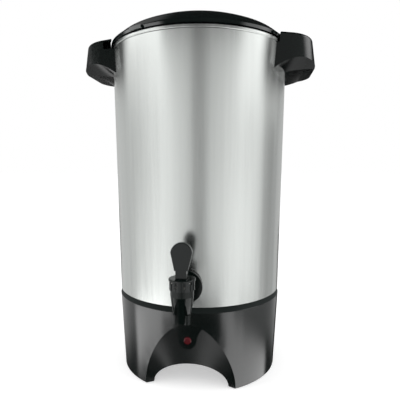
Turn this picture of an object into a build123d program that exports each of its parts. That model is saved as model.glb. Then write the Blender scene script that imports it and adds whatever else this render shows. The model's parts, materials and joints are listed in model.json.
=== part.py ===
"""Percolating coffee urn: steel tank, moulded base, tap, lift-out pump and basket.

Millimetres, +Z up.  The origin is the centre of the urn in the plane that its feet stand
on.  The tap is at the front, towards -Y, and the handles are at -X and +X.
"""
import math
import os

from build123d import *

os.makedirs("parts", exist_ok=True)

# ---------------------------------------------------------------- driving dimensions
# Clearances
running_fit = 0.06          # radial, between a shaft and the hole it turns or slides in
seated_fit = 0.02           # radial, between a pressed or threaded piece and its hole
loose_fit = 0.4             # radial, around a piece that lifts out by hand
rest_gap = 0.3              # under a loose piece that rests on another

# Tank
rim_radius = 100.0          # outside of the tank wall at the rim
foot_radius = 93.8          # outside of the tank wall at the top of the base
rim_height = 365.6
base_top = 91.2             # height at which the steel goes into the base
neck_height = 5.7           # of the stepped-in band of the tank inside the base
tank_wall = 1.0
tank_corner = 5.0
neck_step = 2.8             # how far the steel steps in below the base's lip
bead_radius = 2.3           # half the width of the rolled rim
bead_proud = 0.6
bead_corner = 1.2

# Base
foot_proud = 0.5            # how far the rubber feet reach below the skirt
skirt_overhang = 0.6        # how far the skirt's top stands out from the tank
skirt_taper = 4.6           # how much narrower the skirt is at its foot
skirt_wall = 3.0
lip_band = 6.0              # height of the sloping band above the skirt's side
lip_lean = 2.6              # how far that band leans in
skirt_edge = 0.6
upper_ledge_width = 11.0    # of the ledge that carries the tank
ledge_thickness = 3.0
lower_ledge_width = 6.2     # of the ledge that the bottom cover pulls on
cover_height = 26.0         # underside of the bottom cover
cover_thickness = 1.2
cover_gap = 1.5             # between the bottom cover and the recess
vent_circle = 38.0
vent_count = 12
vent_length = 16.0
vent_width = 3.5

# Cup recess in the front of the base: an arched funnel that narrows inwards to an arch
arch_half_width = 40.3
arch_rise = 22.5
mouth_half_width = 80.0
mouth_rise = 71.5
mouth_inset = 1.4           # of the mouth's plane from the front of the skirt
recess_depth = 21.0         # from the mouth to the arch
recess_wall = 3.2
lamp_drop = 14.9            # of the lamp below the mouth's top
lamp_tab_radius = 9.0
lamp_tab_flare = 5.5
lamp_tab_waist = 11.7       # height of the tab's curved sides above the lamp
lamp_tab_root = 6.2         # height of its straight sides above those
lamp_tab_set = 7.0          # of the tab's back in front of the arch

# Indicator lamp
lens_radius = 3.9
lens_dome = 0.8
lens_round = 1.2
lens_front_wall = 1.6
lens_tail = 1.2             # of the lens behind its clip
lamp_radius = 3.0
lamp_length = 20.0
lamp_end_gap = 0.8
lens_clip_radius = 6.5
lens_clip_thickness = 1.5

# Feet
foot_count = 4
foot_radius_rubber = 6.0
foot_inset = 9.8            # of a foot's middle from the skirt's lower edge
foot_boss_radius = 8.2
foot_boss_height = 11.0
foot_recess = 2.0
foot_stem_radius = 2.4
foot_stem_height = 6.0

# Studs that hold the base, the bottom cover and the tank together
stud_count = 3
stud_radius = 2.5
stud_margin = 8.0           # of a stud's middle outside the heater plate
stud_end = 18.0
nut_height = 4.0
nut_across_flats = 8.0

# Heating well and heaters
well_radius = 22.0
well_wall = 1.2
well_flange_width = 6.5     # outside the well's bore
well_depth = 16.0
well_gasket_thickness = 1.5
well_nut_width = 8.0        # outside the well's bore
well_nut_height = 6.0
heater_plate_gap = 1.0      # between the well's nut and the heater plate
heater_plate_width = 25.0
heater_plate_thickness = 2.0
element_radius = 3.5
boil_ring_margin = 9.0      # of the boil element's middle outside the plate's bore
element_pitch = 10.0        # from the boil element to the keep-warm element
element_sweep = 320.0
terminal_radius = 2.0
terminal_drop = 14.0
terminal_spread = 1.12      # of the terminals' angle to that of the element's ends
terminal_room = 1.5         # round each terminal in the clamp
clamp_thickness = 1.2
clamp_screw_radius = 1.5
clamp_screw_margin = 3.0    # of a screw's middle outside the plate's bore
clamp_screw_head = 2.6
clamp_screw_count = 3
clamp_screw_turn = 30.0     # of the first screw from the right
thermostat_radius = 9.0
thermostat_height = 8.0
thermostat_margin = 13.0    # of its middle outside the heater plate
thermostat_blade_offset = 5.0
thermostat_blade = 9.0
thermostat_blade_thickness = 1.0
thermostat_blade_width = 5.0
fuse_radius = 2.5
fuse_length = 15.0
lead_radius = 1.2
lead_bend = 8.0
lead_drop = 12.0            # straight run of a lead from each terminal
lead_swing_drop = 19.2      # of the swing below the heaters' terminals
lead_swing = 10.0           # sideways swing of the leads round the heaters
lead_cross = 6.0
neutral_side = 26.0
neutral_back = 10.0
neutral_sag = 4.0
neutral_reach = 14.0

# Appliance inlet in the back of the base
inlet_height = 45.0
inlet_half_width = 12.5
inlet_half_height = 7.5
inlet_wall = 2.5
inlet_depth = 20.6
inlet_flange_half_width = 22.0
inlet_flange_half_height = 13.0
inlet_flange_thickness = 2.0
inlet_flange_corner = 3.0
inlet_mouth_corner = 2.5
inlet_pad_proud = 2.4       # of the inlet's flat pad outside the skirt
inlet_pad_margin = 2.0
inlet_pad_depth = 9.0       # of the block behind the pad's face
inlet_pin_radius = 2.4
inlet_pin_spacing = 12.7
inlet_pin_length = 16.0
inlet_pin_tail = 6.0
inlet_pin_round = 1.0
inlet_screw_radius = 1.7
inlet_screw_head = 3.0
inlet_screw_round = 0.8
inlet_screw_offset = 18.6
inlet_screw_length = 7.5

# Handles
handle_depth = 30.7         # of the grip outside the tank's rim, at the level of its foot
handle_draft = 6.0          # degrees that its sides lean in towards the top
handle_half_width = 52.0    # where the front and back walls meet the tank
handle_half_width_tip = 48.0
handle_corner = 30.0
handle_root_flare = 8.0     # of its sides from the tank's wall to the tank's middle
handle_rise = 6.2           # above the tank's rim
handle_foot_drop = 31.4     # of the lower edge at the tank below the rim
handle_front_drop = 18.2    # of the lower edge at the grip's front below the rim
handle_waist_drop = 26.2    # of the lower edge behind the grip's front corner
handle_waist = 18.0         # of that place from the handle's middle
handle_back_drop = 26.6     # of the lower edge at the grip's back below the rim
handle_arch_run = 33.0
handle_front_bulge = 2.8    # of the lower edge's arch at the grip's front
handle_waist_bulge = 0.9
handle_back_bulge = -1.0
handle_top_tilt = 5.0       # degrees that the top falls outwards
handle_top_edge = 4.5
lid_clearance = 0.8         # between the handles and the lid's flange
slot_roof = 2.5
slot_depth = 9.4            # of the lug slot outside the lid's flange
slot_start = 3.0            # degrees from the handle's middle
slot_end = 40.0             # open beyond the handle's side
handle_screw_angle = 14.0
handle_screw_drop = 13.6    # below the rim
handle_screw_radius = 2.0
handle_screw_length = 7.5
handle_screw_head = 4.0
handle_screw_head_height = 2.4

# Lid
lid_overhang = 1.6          # of the flange outside the tank's rim
lid_flange_height = 3.2
lid_edge = 0.8
# Points of the dome: in from the flange's edge, and above the flange's top
lid_crown = ((3.6, 3.1), (11.6, 9.5), (21.6, 14.8), (31.6, 19.1), (41.6, 22.5), (56.6, 24.9),
             (76.6, 25.9))
lid_wall = 3.0
lid_plug_wall = 2.4
lid_plug_depth = 9.0
lid_plug_clearance = 0.7
lug_depth = 2.8             # of a lug outside the flange
lug_width = 9.0             # degrees
lug_gap = 0.5               # between a lug and the slot's roof
lug_rest_angle = 60.0       # degrees from the handle's middle, clear of the handle
tab_depth = 1.4
tab_drop = 0.5              # of a tab's top below the flange's top
tab_rest_angle = 34.5
tab_width = 4.0             # degrees

# Lid knob
knob_radius = 19.0
knob_neck_radius = 9.0
knob_neck_height = 3.6
knob_head_height = 8.1
knob_edge = 3.0
knob_screw_radius = 2.0
knob_screw_head = 4.0
knob_screw_head_height = 2.2
knob_screw_grip = 8.0

# Pump
stem_radius = 5.0
stem_bore = 4.0
stem_rise = 24.0            # of the tube above the basket's rim
stem_inlet = 2.5            # height of the tube's end above the well's floor
foot_cup_clearance = 2.0    # of the foot inside the well
foot_cup_height = 7.7
foot_cup_wall = 1.2
foot_port_radius = 1.5
foot_port_margin = 3.6       # of a port's middle outside the tube
foot_port_count = 6
washer_radius = 11.5
washer_thickness = 1.2
washer_travel = 3.0
collar_radius = 7.5
collar_height = 2.0
basket_collar_radius = 9.0
basket_collar_height = 4.0

# Coffee basket and its spreader
basket_radius = 62.0
basket_wall = 0.8
basket_drop = 18.6          # of the basket's rim below the tank's rim
basket_height = 75.0
basket_sleeve_wall = 0.8
basket_hole_radius = 1.6
basket_hole_rings = 4
basket_hole_first_ring = 16.0
basket_hole_ring_step = 11.0
basket_hole_pitch = 14.0
spreader_wall = 0.8
spreader_lip = 4.0
spreader_dish = 3.0
spreader_hole_radius = 1.4

# Tap
tap_rise = 22.8             # of the shank above the base
tap_reach = 29.2            # of the tap's vertical axis in front of the tank's foot
barrel_radius = 11.0
barrel_drop = 27.0          # of the spout's end below the shank
barrel_rise = 4.4           # of the barrel's top above the shank
barrel_shoulder_drop = 1.5
waist_radius = 9.8
waist_drop = 10.0
shin_radius = 8.3
shin_drop = 18.5
spout_radius = 7.2
spout_edge = 1.0
outlet_radius = 4.5
chamber_radius = 8.2
seat_drop = 10.0
barrel_neck_radius = 9.2
barrel_neck_height = 2.2
lobe_radius = 3.1
lobe_offset = 5.1
lobe_forward = 3.6
lobe_height = 9.0
rib_half_width = 3.4        # of the rib down the barrel's front
facet_top_depth = 11.0      # of the flats beside the rib in front of the tap's axis
facet_foot_depth = 3.0
shank_radius = 8.5
shank_bore = 5.5
throat_drop = 3.0           # how far the throat runs below the shank
throat_radius = 7.2
throat_bore = 4.8
shank_flange_radius = 16.0
shank_flange_thickness = 3.5
tap_gasket_radius = 15.0
tap_gasket_thickness = 2.6
inner_gasket_radius = 14.0
inner_gasket_thickness = 2.4
tap_nut_across_flats = 25.0
tap_nut_height = 6.0
shank_spare = 2.5
bonnet_radius = 12.6
bonnet_height = 10.6
bonnet_flange = 1.6
bonnet_grip_radius = 11.9
bonnet_groove = 0.6
bonnet_groove_width = 2.2
bonnet_groove_count = 12
bonnet_edge = 0.7
seal_thickness = 1.5
valve_rod_radius = 2.5
valve_rod_rise = 3.0        # of the rod's end above the seat
cup_radius = 6.8
cup_height = 7.7
cup_round = 1.5
pivot_drop = 3.0            # of the lever's pivot below the bonnet's top
pivot_forward = 7.0         # lever pivot in front of the valve rod
pivot_radius = 1.2
pivot_half_length = 8.8
lever_tilt = 45.0           # degrees that the lever tips forward
blade_half_thickness = 1.5
blade_front = 5.2
blade_back = 3.2
blade_top = 3.2
blade_bottom = 3.4
rod_shoulder = 4.0          # top of the rod's round part below the pins
blade_root = 2.0
blade_corner = 1.2
blade_slot_rise = 0.1
cheek_half_width = 5.0
cheek_gap = 0.3
hub_radius = 2.6
hub_room = 1.2              # round the lever in the bonnet
lever_slot_drop = 1.0       # of the lever's slot below the seal's top
fork_roof = 2.4             # of the fork's slot above the blade
fork_front_rise = 1.8       # of the fork's front wall above the pivot
lever_web = 1.3
lever_neck_rise = 11.0      # of the neck's top above the pivot
neck_panel_half_width = 2.4
neck_panel_proud = 0.8
paddle_rise = 36.4          # of the paddle's top above the pivot
paddle_half_width = 10.1
paddle_foot_half_width = 6.2
paddle_thickness = 5.0
paddle_crown_height = 9.0
paddle_step = 1.5
paddle_edge = 0.6

# ---------------------------------------------------------------- worked-out values
valve_lift = pivot_forward * math.sin(math.radians(lever_tilt))
pin_shift = pivot_forward * (1 - math.cos(math.radians(lever_tilt)))
tank_floor = base_top - neck_height
floor_top = tank_floor + tank_wall
neck_radius = foot_radius - neck_step
tank_slope = (rim_radius - foot_radius) / (rim_height - base_top)
skirt_top = base_top - lip_band
skirt_top_radius = foot_radius + skirt_overhang
skirt_bottom_radius = skirt_top_radius - skirt_taper
skirt_slope = (skirt_top_radius - skirt_bottom_radius) / (skirt_top - foot_proud)
upper_ledge_reach = neck_radius - upper_ledge_width
mouth_depth = skirt_top_radius - mouth_inset
arch_depth = mouth_depth - recess_depth
lamp_height = mouth_rise - lamp_drop
lamp_tab_back = arch_depth + lamp_tab_set
lid_bottom = rim_height + rest_gap
well_flange_radius = well_radius + well_flange_width
well_nut_radius = well_radius + well_nut_width
well_flange_top = floor_top + well_gasket_thickness + well_wall
well_floor = well_flange_top - well_depth
heater_plate_inner = well_nut_radius + heater_plate_gap
heater_plate_outer = heater_plate_inner + heater_plate_width
boil_ring_radius = heater_plate_inner + boil_ring_margin
warm_ring_radius = boil_ring_radius + element_pitch
clamp_screw_circle = heater_plate_inner + clamp_screw_margin
thermostat_circle = heater_plate_outer + thermostat_margin
stud_circle = heater_plate_outer + stud_margin
foot_circle = skirt_bottom_radius - foot_inset
element_height = tank_floor - heater_plate_thickness - element_radius
clamp_top = element_height - element_radius
cover_top = cover_height + cover_thickness
basket_top = rim_height - basket_drop
basket_bottom = basket_top - basket_height
handle_reach = rim_radius + handle_depth
handle_top = rim_height + handle_rise
handle_foot = rim_height - handle_foot_drop
handle_front_edge = rim_height - handle_front_drop
handle_waist_edge = rim_height - handle_waist_drop
handle_back_edge = rim_height - handle_back_drop
handle_screw_height = rim_height - handle_screw_drop
lid_flange_radius = rim_radius + lid_overhang
slot_reach = lid_flange_radius + slot_depth
lug_reach = lid_flange_radius + lug_depth
tab_reach = lid_flange_radius + tab_depth
rim_room_bottom = rim_height - 2 * bead_radius - rest_gap
tap_axis = foot_radius + tap_reach
tap_height = base_top + tap_rise
barrel_bottom = tap_height - barrel_drop
barrel_top = tap_height + barrel_rise
barrel_waist = tap_height - waist_drop
seat_height = tap_height - seat_drop
valve_rod_end = seat_height + valve_rod_rise
bonnet_top = barrel_top + bonnet_height
pivot_height = bonnet_top - pivot_drop
lever_neck_top = pivot_height + lever_neck_rise
paddle_top = pivot_height + paddle_rise


def tank_radius(height):
    """Outside radius of the tank wall at a height above the base."""
    return foot_radius + tank_slope * (height - base_top)


def skirt_radius(height):
    """Outside radius of the base's side at a height."""
    return skirt_bottom_radius + skirt_slope * (height - foot_proud)


def turned(points, arc=360.0):
    """Turn a closed outline of (radius, height) points about the urn's axis."""
    with BuildPart() as solid:
        with BuildSketch(Plane.XZ):
            with BuildLine():
                Polyline(*points, close=True)
            make_face()
        revolve(axis=Axis.Z, revolution_arc=arc)
    return solid.part


def ring(inner, outer, bottom, top):
    """A plain ring about the urn's axis."""
    return turned([(inner, bottom), (outer, bottom), (outer, top), (inner, top)])


def lead(points):
    """An insulated wire through a list of points, with round bends."""
    with BuildPart() as wire:
        with BuildLine() as route:
            FilletPolyline(*points, radius=lead_bend)
        with BuildSketch(Plane(route.line @ 0, z_dir=route.line % 0)):
            Circle(lead_radius)
        sweep()
    return wire.part


def save(solid, name):
    """Label a finished piece and write its file."""
    solid.label = name
    export_step(solid, f"parts/{name}.step")


# Places that several pieces share
tap_center = (0, -tap_axis)
tap_wall_radius = tank_radius(tap_height)
tap_front = -(tap_wall_radius + tap_gasket_thickness)
tap_wall_inside = -(tap_wall_radius - tank_wall)
inner_gasket_end = tap_wall_inside + inner_gasket_thickness
tap_nut_end = inner_gasket_end + tap_nut_height
shank_end = tap_nut_end + shank_spare
tap_plane = Plane((0, 0, tap_height), x_dir=(-1, 0, 0), z_dir=(0, 1, 0))
stud_places = [math.radians(90 + 360 / stud_count * n) for n in range(stud_count)]
stud_points = [(stud_circle * math.cos(a), stud_circle * math.sin(a)) for a in stud_places]
foot_angles = (40.0, 140.0, 220.0, 320.0)
foot_points = [
    (foot_circle * math.cos(math.radians(a)), foot_circle * math.sin(math.radians(a)))
    for a in foot_angles[:foot_count]
]


def handle_screw_planes():
    """Planes on the tank's inside at each handle screw, facing outwards."""
    inside = tank_radius(handle_screw_height) - tank_wall
    planes = []
    for middle in (0, 180):
        for turn in (-handle_screw_angle, handle_screw_angle):
            a = math.radians(middle + turn)
            outward = (math.cos(a), math.sin(a), 0)
            origin = (inside * outward[0], inside * outward[1], handle_screw_height)
            planes.append(Plane(origin, x_dir=(0, 0, 1), z_dir=outward))
    return planes


# ---------------------------------------------------------------- tank
well_hole_radius = well_radius + well_wall + running_fit

with BuildPart() as tank:
    with BuildSketch(Plane.XZ) as tank_section:
        with BuildLine():
            Polyline(
                (well_hole_radius, tank_floor),
                (neck_radius, tank_floor),
                (neck_radius, base_top),
                (foot_radius, base_top),
                (tank_radius(rim_height - bead_radius), rim_height - bead_radius),
                (tank_radius(rim_height - bead_radius) - tank_wall, rim_height - bead_radius),
                (tank_radius(base_top + tank_wall) - tank_wall, base_top + tank_wall),
                (neck_radius - tank_wall, base_top + tank_wall),
                (neck_radius - tank_wall, floor_top),
                (well_hole_radius, floor_top),
                close=True,
            )
        make_face()
        fillet(tank_section.vertices().sort_by_distance((neck_radius, tank_floor))[0], tank_corner)
        fillet(
            tank_section.vertices().sort_by_distance((neck_radius - tank_wall, floor_top))[0],
            tank_corner - tank_wall,
        )
    revolve(axis=Axis.Z)
    with BuildSketch(Plane.XZ):
        with Locations((rim_radius + bead_proud - bead_radius, rim_height - bead_radius)):
            RectangleRounded(2 * bead_radius, 2 * bead_radius, bead_corner)
    revolve(axis=Axis.Z)
    with BuildSketch(Plane((0, -foot_radius / 2, tap_height), x_dir=(1, 0, 0), z_dir=(0, -1, 0))):
        Circle(shank_radius + rest_gap)
    extrude(amount=foot_radius, mode=Mode.SUBTRACT)
    for place in handle_screw_planes():
        with BuildSketch(place.offset(-tank_wall)):
            Circle(handle_screw_radius + rest_gap)
        extrude(amount=tank_wall * 3, mode=Mode.SUBTRACT)
save(tank.part, "tank")

# A solid of the tank's outer and inner shapes, to seat pieces against its wall
tank_outside = turned([(0, tank_floor), (foot_radius - tank_slope * (base_top - tank_floor), tank_floor),
                       (rim_radius, rim_height), (0, rim_height)])
lining_inset = tank_wall + rest_gap
tank_inside = turned([(0, floor_top), (tank_radius(floor_top) - lining_inset, floor_top),
                      (rim_radius - lining_inset, rim_height), (0, rim_height)])

# ---------------------------------------------------------------- base skirt
half_width_slope = (mouth_half_width - arch_half_width) / (mouth_depth - arch_depth)
rise_slope = (mouth_rise - arch_rise) / (mouth_depth - arch_depth)
recess_front = mouth_depth + 2 * recess_wall


def recess_funnel(shift):
    """The arched funnel of the cup recess, moved inwards by a wall's thickness."""
    run = recess_front - arch_depth
    with BuildPart() as funnel:
        with BuildSketch(Plane.XZ.offset(arch_depth - shift)):
            Ellipse(arch_half_width, arch_rise)
        with BuildSketch(Plane.XZ.offset(recess_front - shift)):
            Ellipse(arch_half_width + half_width_slope * run, arch_rise + rise_slope * run)
        loft(ruled=True)
    return funnel.part


def lamp_tab_outline():
    """Outline of the tab that hangs into the recess and holds the lamp."""
    shoulder = lamp_height + lamp_tab_waist
    top = shoulder + lamp_tab_root
    wide = lamp_tab_radius + lamp_tab_flare
    with BuildSketch(mode=Mode.PRIVATE) as outline:
        with BuildLine():
            right = Spline(
                (lamp_tab_radius, lamp_height),
                (wide, shoulder),
                tangents=((0, 1), (0.75, 1)),
            )
            Line(right @ 1, (wide + lamp_tab_flare, top))
            Line((wide + lamp_tab_flare, top), (-wide - lamp_tab_flare, top))
            left = Spline(
                (-lamp_tab_radius, lamp_height),
                (-wide, shoulder),
                tangents=((0, 1), (-0.75, 1)),
            )
            Line(left @ 1, (-wide - lamp_tab_flare, top))
            ThreePointArc(
                (-lamp_tab_radius, lamp_height),
                (0, lamp_height - lamp_tab_radius),
                (lamp_tab_radius, lamp_height),
            )
        make_face()
    return outline.sketch


skirt_outline = [
    (0, foot_proud),
    (skirt_bottom_radius, foot_proud),
    (skirt_top_radius, skirt_top),
    (skirt_top_radius - lip_lean, base_top),
    (0, base_top),
]
skirt_outside = turned(skirt_outline)
ledge_bottom = tank_floor - ledge_thickness
lower_ledge_top = cover_top + ledge_thickness

with BuildPart() as skirt_hollow:
    add(turned([
        (0, 0),
        (skirt_radius(0) - skirt_wall, 0),
        (skirt_radius(cover_top) - skirt_wall, cover_top),
        (skirt_radius(cover_top) - skirt_wall - lower_ledge_width, cover_top),
        (skirt_radius(cover_top) - skirt_wall - lower_ledge_width, lower_ledge_top),
        (skirt_radius(lower_ledge_top) - skirt_wall, lower_ledge_top),
        (skirt_radius(ledge_bottom) - skirt_wall, ledge_bottom),
        (upper_ledge_reach, ledge_bottom),
        (upper_ledge_reach, tank_floor),
        (neck_radius + seated_fit, tank_floor),
        (neck_radius + seated_fit, base_top + lip_band),
        (0, base_top + lip_band),
    ]))
    add(recess_funnel(recess_wall), mode=Mode.SUBTRACT)

with BuildPart() as lamp_tab:
    with BuildSketch(Plane.XZ.offset(lamp_tab_back)):
        add(lamp_tab_outline())
    extrude(amount=recess_front - lamp_tab_back)
    add(skirt_outside, mode=Mode.INTERSECT)

inlet_pad_face = skirt_radius(inlet_height) + inlet_pad_proud
inlet_pad_half_width = inlet_flange_half_width + inlet_pad_margin
inlet_pad_half_height = inlet_flange_half_height + inlet_pad_margin
inlet_bezel = Plane((0, inlet_pad_face, inlet_height), x_dir=(-1, 0, 0), z_dir=(0, 1, 0))

with BuildPart() as base_skirt:
    add(skirt_outside)
    fillet(base_skirt.edges().filter_by(GeomType.CIRCLE).group_by(Axis.Z)[0], skirt_edge)
    add(skirt_hollow.part, mode=Mode.SUBTRACT)
    add(recess_funnel(0), mode=Mode.SUBTRACT)
    with BuildSketch(Plane.XZ.offset(arch_depth / 2)):
        Ellipse(arch_half_width, arch_rise)
    extrude(amount=arch_depth / 2, mode=Mode.SUBTRACT)
    add(lamp_tab.part)
    with BuildSketch(Plane.XZ.offset(lamp_tab_back - 2 * recess_wall)):
        with Locations((0, lamp_height)):
            Circle(lens_radius + seated_fit)
    extrude(amount=skirt_top_radius, mode=Mode.SUBTRACT)
    # Pads for the feet
    with BuildSketch(Plane.XY.offset(foot_proud)):
        with Locations(*foot_points):
            Circle(foot_boss_radius)
    extrude(amount=foot_boss_height)
    with BuildSketch(Plane.XY.offset(foot_proud)):
        with Locations(*foot_points):
            Circle(foot_radius_rubber + seated_fit)
    extrude(amount=foot_recess, mode=Mode.SUBTRACT)
    with BuildSketch(Plane.XY.offset(foot_proud)):
        with Locations(*foot_points):
            Circle(foot_stem_radius + seated_fit)
    extrude(amount=foot_recess + foot_stem_height, mode=Mode.SUBTRACT)
    # Flat pad, opening and screw holes of the inlet
    with BuildSketch(inlet_bezel):
        RectangleRounded(2 * inlet_pad_half_width, 2 * inlet_pad_half_height, inlet_flange_corner)
    extrude(amount=-inlet_pad_depth)
    with BuildSketch(inlet_bezel):
        Rectangle(
            2 * (inlet_half_width + inlet_wall + rest_gap),
            2 * (inlet_half_height + inlet_wall + rest_gap),
        )
    extrude(amount=-2 * inlet_depth, mode=Mode.SUBTRACT)
    with BuildSketch(inlet_bezel):
        with Locations((inlet_screw_offset, 0), (-inlet_screw_offset, 0)):
            Circle(inlet_screw_radius + seated_fit)
    extrude(amount=-inlet_screw_length, mode=Mode.SUBTRACT)
save(base_skirt.part, "base_skirt")

# ---------------------------------------------------------------- bottom cover and fixings
cover_front = arch_depth - recess_wall - cover_gap
with BuildPart() as bottom_cover:
    with BuildSketch(Plane.XY.offset(cover_height)):
        Circle(skirt_radius(cover_height) - skirt_wall - loose_fit)
        with Locations((0, -cover_front - skirt_top_radius / 2)):
            Rectangle(2 * skirt_top_radius, skirt_top_radius, mode=Mode.SUBTRACT)
        with Locations(*stud_points):
            Circle(stud_radius + rest_gap, mode=Mode.SUBTRACT)
        with PolarLocations(vent_circle, vent_count):
            SlotOverall(vent_length, vent_width, mode=Mode.SUBTRACT)
    extrude(amount=cover_thickness)
save(bottom_cover.part, "bottom_cover")

with BuildPart() as rubber_feet:
    with BuildSketch():
        with Locations(*foot_points):
            Circle(foot_radius_rubber)
    extrude(amount=foot_proud + foot_recess)
    with BuildSketch():
        with Locations(*foot_points):
            Circle(foot_stem_radius)
    extrude(amount=foot_proud + foot_recess + foot_stem_height - rest_gap)
save(rubber_feet.part, "rubber_feet")

with BuildPart() as base_studs:
    with BuildSketch(Plane.XY.offset(stud_end)):
        with Locations(*stud_points):
            Circle(stud_radius)
    extrude(amount=tank_floor - stud_end)
save(base_studs.part, "base_studs")

with BuildPart() as base_nuts:
    with BuildSketch(Plane.XY.offset(cover_height - nut_height)):
        with Locations(*stud_points):
            RegularPolygon(nut_across_flats / 2, 6, major_radius=False)
            Circle(stud_radius + seated_fit, mode=Mode.SUBTRACT)
    extrude(amount=nut_height)
save(base_nuts.part, "base_nuts")

# ---------------------------------------------------------------- heating well and heaters
well_outer = well_radius + well_wall
save(turned([
    (0, well_floor - well_wall),
    (well_outer, well_floor - well_wall),
    (well_outer, well_flange_top - well_wall),
    (well_flange_radius, well_flange_top - well_wall),
    (well_flange_radius, well_flange_top),
    (well_radius, well_flange_top),
    (well_radius, well_floor),
    (0, well_floor),
]), "heating_well")
save(ring(well_outer + running_fit, well_flange_radius, floor_top, floor_top + well_gasket_thickness),
     "well_gasket")

with BuildPart() as well_nut:
    with BuildSketch(Plane.XY.offset(tank_floor - well_nut_height)):
        RegularPolygon(well_nut_radius, 8)
        Circle(well_outer + seated_fit, mode=Mode.SUBTRACT)
    extrude(amount=well_nut_height)
save(well_nut.part, "well_nut")

clamp_screw_places = [
    math.radians(clamp_screw_turn + 360 / clamp_screw_count * n) for n in range(clamp_screw_count)
]
clamp_screw_points = [
    (clamp_screw_circle * math.cos(a), clamp_screw_circle * math.sin(a))
    for a in clamp_screw_places
]
with BuildPart() as heater_plate:
    with BuildSketch(Plane.XY.offset(tank_floor - heater_plate_thickness)):
        Circle(heater_plate_outer)
        Circle(heater_plate_inner, mode=Mode.SUBTRACT)
        with Locations(*clamp_screw_points):
            Circle(clamp_screw_radius + seated_fit, mode=Mode.SUBTRACT)
    extrude(amount=heater_plate_thickness)
save(heater_plate.part, "heater_plate")

with BuildPart() as heater_clamp:
    with BuildSketch(Plane.XY.offset(clamp_top - clamp_thickness)):
        Circle(warm_ring_radius + 2 * element_radius)
        Circle(heater_plate_inner + rest_gap, mode=Mode.SUBTRACT)
        with Locations(*clamp_screw_points):
            Circle(clamp_screw_radius + seated_fit, mode=Mode.SUBTRACT)
        gap_turn = 360 - element_sweep
        for ring_radius in (boil_ring_radius, warm_ring_radius):
            for end in (-gap_turn / 2, gap_turn / 2):
                a = math.radians(-90 + end * terminal_spread)
                with Locations((ring_radius * math.cos(a), ring_radius * math.sin(a))):
                    Circle(terminal_radius + terminal_room, mode=Mode.SUBTRACT)
    extrude(amount=clamp_thickness)
save(heater_clamp.part, "heater_clamp")

with BuildPart() as clamp_screws:
    with BuildSketch(Plane.XY.offset(clamp_top - clamp_thickness - clamp_screw_radius)):
        with Locations(*clamp_screw_points):
            Circle(clamp_screw_head)
    extrude(amount=clamp_screw_radius)
    with BuildSketch(Plane.XY.offset(clamp_top - clamp_thickness)):
        with Locations(*clamp_screw_points):
            Circle(clamp_screw_radius)
    extrude(amount=tank_floor - clamp_top + clamp_thickness)
save(clamp_screws.part, "clamp_screws")


def heater_element(ring_radius):
    """A sheathed element bent to an open ring, with a terminal at each end."""
    turn = 360 - element_sweep
    with BuildPart() as element:
        start = Plane.XZ.rotated((0, 0, -90 + turn / 2))
        with BuildSketch(start):
            with Locations((ring_radius, element_height)):
                Circle(element_radius)
        revolve(axis=Axis.Z, revolution_arc=element_sweep)
        for end in (-turn / 2, turn / 2):
            a = math.radians(-90 + end * terminal_spread)
            foot = Plane.XY.offset(element_height - terminal_drop)
            with BuildSketch(foot):
                with Locations((ring_radius * math.cos(a), ring_radius * math.sin(a))):
                    Circle(terminal_radius)
            extrude(amount=terminal_drop)
    return element.part


save(heater_element(boil_ring_radius), "boil_element")
save(heater_element(warm_ring_radius), "keep_warm_element")

with BuildPart() as thermostat:
    with BuildSketch(Plane.XY.offset(tank_floor - thermostat_height)):
        with Locations((thermostat_circle, 0)):
            Circle(thermostat_radius)
    extrude(amount=thermostat_height)
    with BuildSketch(Plane.XY.offset(tank_floor - thermostat_height - thermostat_blade)):
        for side in (-thermostat_blade_offset, thermostat_blade_offset):
            with Locations((thermostat_circle, side)):
                Rectangle(thermostat_blade_thickness, thermostat_blade_width)
    extrude(amount=thermostat_blade)
save(thermostat.part, "thermostat")

with BuildPart() as thermal_fuse:
    with BuildSketch(Plane.XZ.offset(-fuse_length / 2)):
        with Locations((-thermostat_circle, tank_floor - fuse_radius)):
            Circle(fuse_radius)
    extrude(amount=fuse_length)
save(thermal_fuse.part, "thermal_fuse")

# ---------------------------------------------------------------- indicator lamp
lens_front = skirt_radius(lamp_height)
lens_barrel = lens_front - lamp_tab_back + lens_clip_thickness + lens_tail
with BuildPart() as lamp_lens:
    with BuildSketch(Plane.XZ.offset(lens_front - lens_barrel)):
        with Locations((0, lamp_height)):
            Circle(lens_radius)
    extrude(amount=lens_barrel + lens_dome)
    fillet(lamp_lens.faces().sort_by(Axis.Y)[0].edges(), lens_round)
    with BuildSketch(Plane.XZ.offset(lens_front - lens_barrel)):
        with Locations((0, lamp_height)):
            Circle(lamp_radius + running_fit)
    extrude(amount=lens_barrel - lens_front_wall, mode=Mode.SUBTRACT)
save(lamp_lens.part, "lamp_lens")

with BuildPart() as indicator_lamp:
    with BuildSketch(Plane.XZ.offset(lens_front - lens_front_wall - lamp_end_gap - lamp_length)):
        with Locations((0, lamp_height)):
            Circle(lamp_radius)
    extrude(amount=lamp_length)
save(indicator_lamp.part, "indicator_lamp")

with BuildPart() as lens_clip:
    with BuildSketch(Plane.XZ.offset(lamp_tab_back - lens_clip_thickness)):
        with Locations((0, lamp_height)):
            Circle(lens_clip_radius)
            Circle(lens_radius + seated_fit, mode=Mode.SUBTRACT)
    extrude(amount=lens_clip_thickness)
save(lens_clip.part, "lens_clip")

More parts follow.
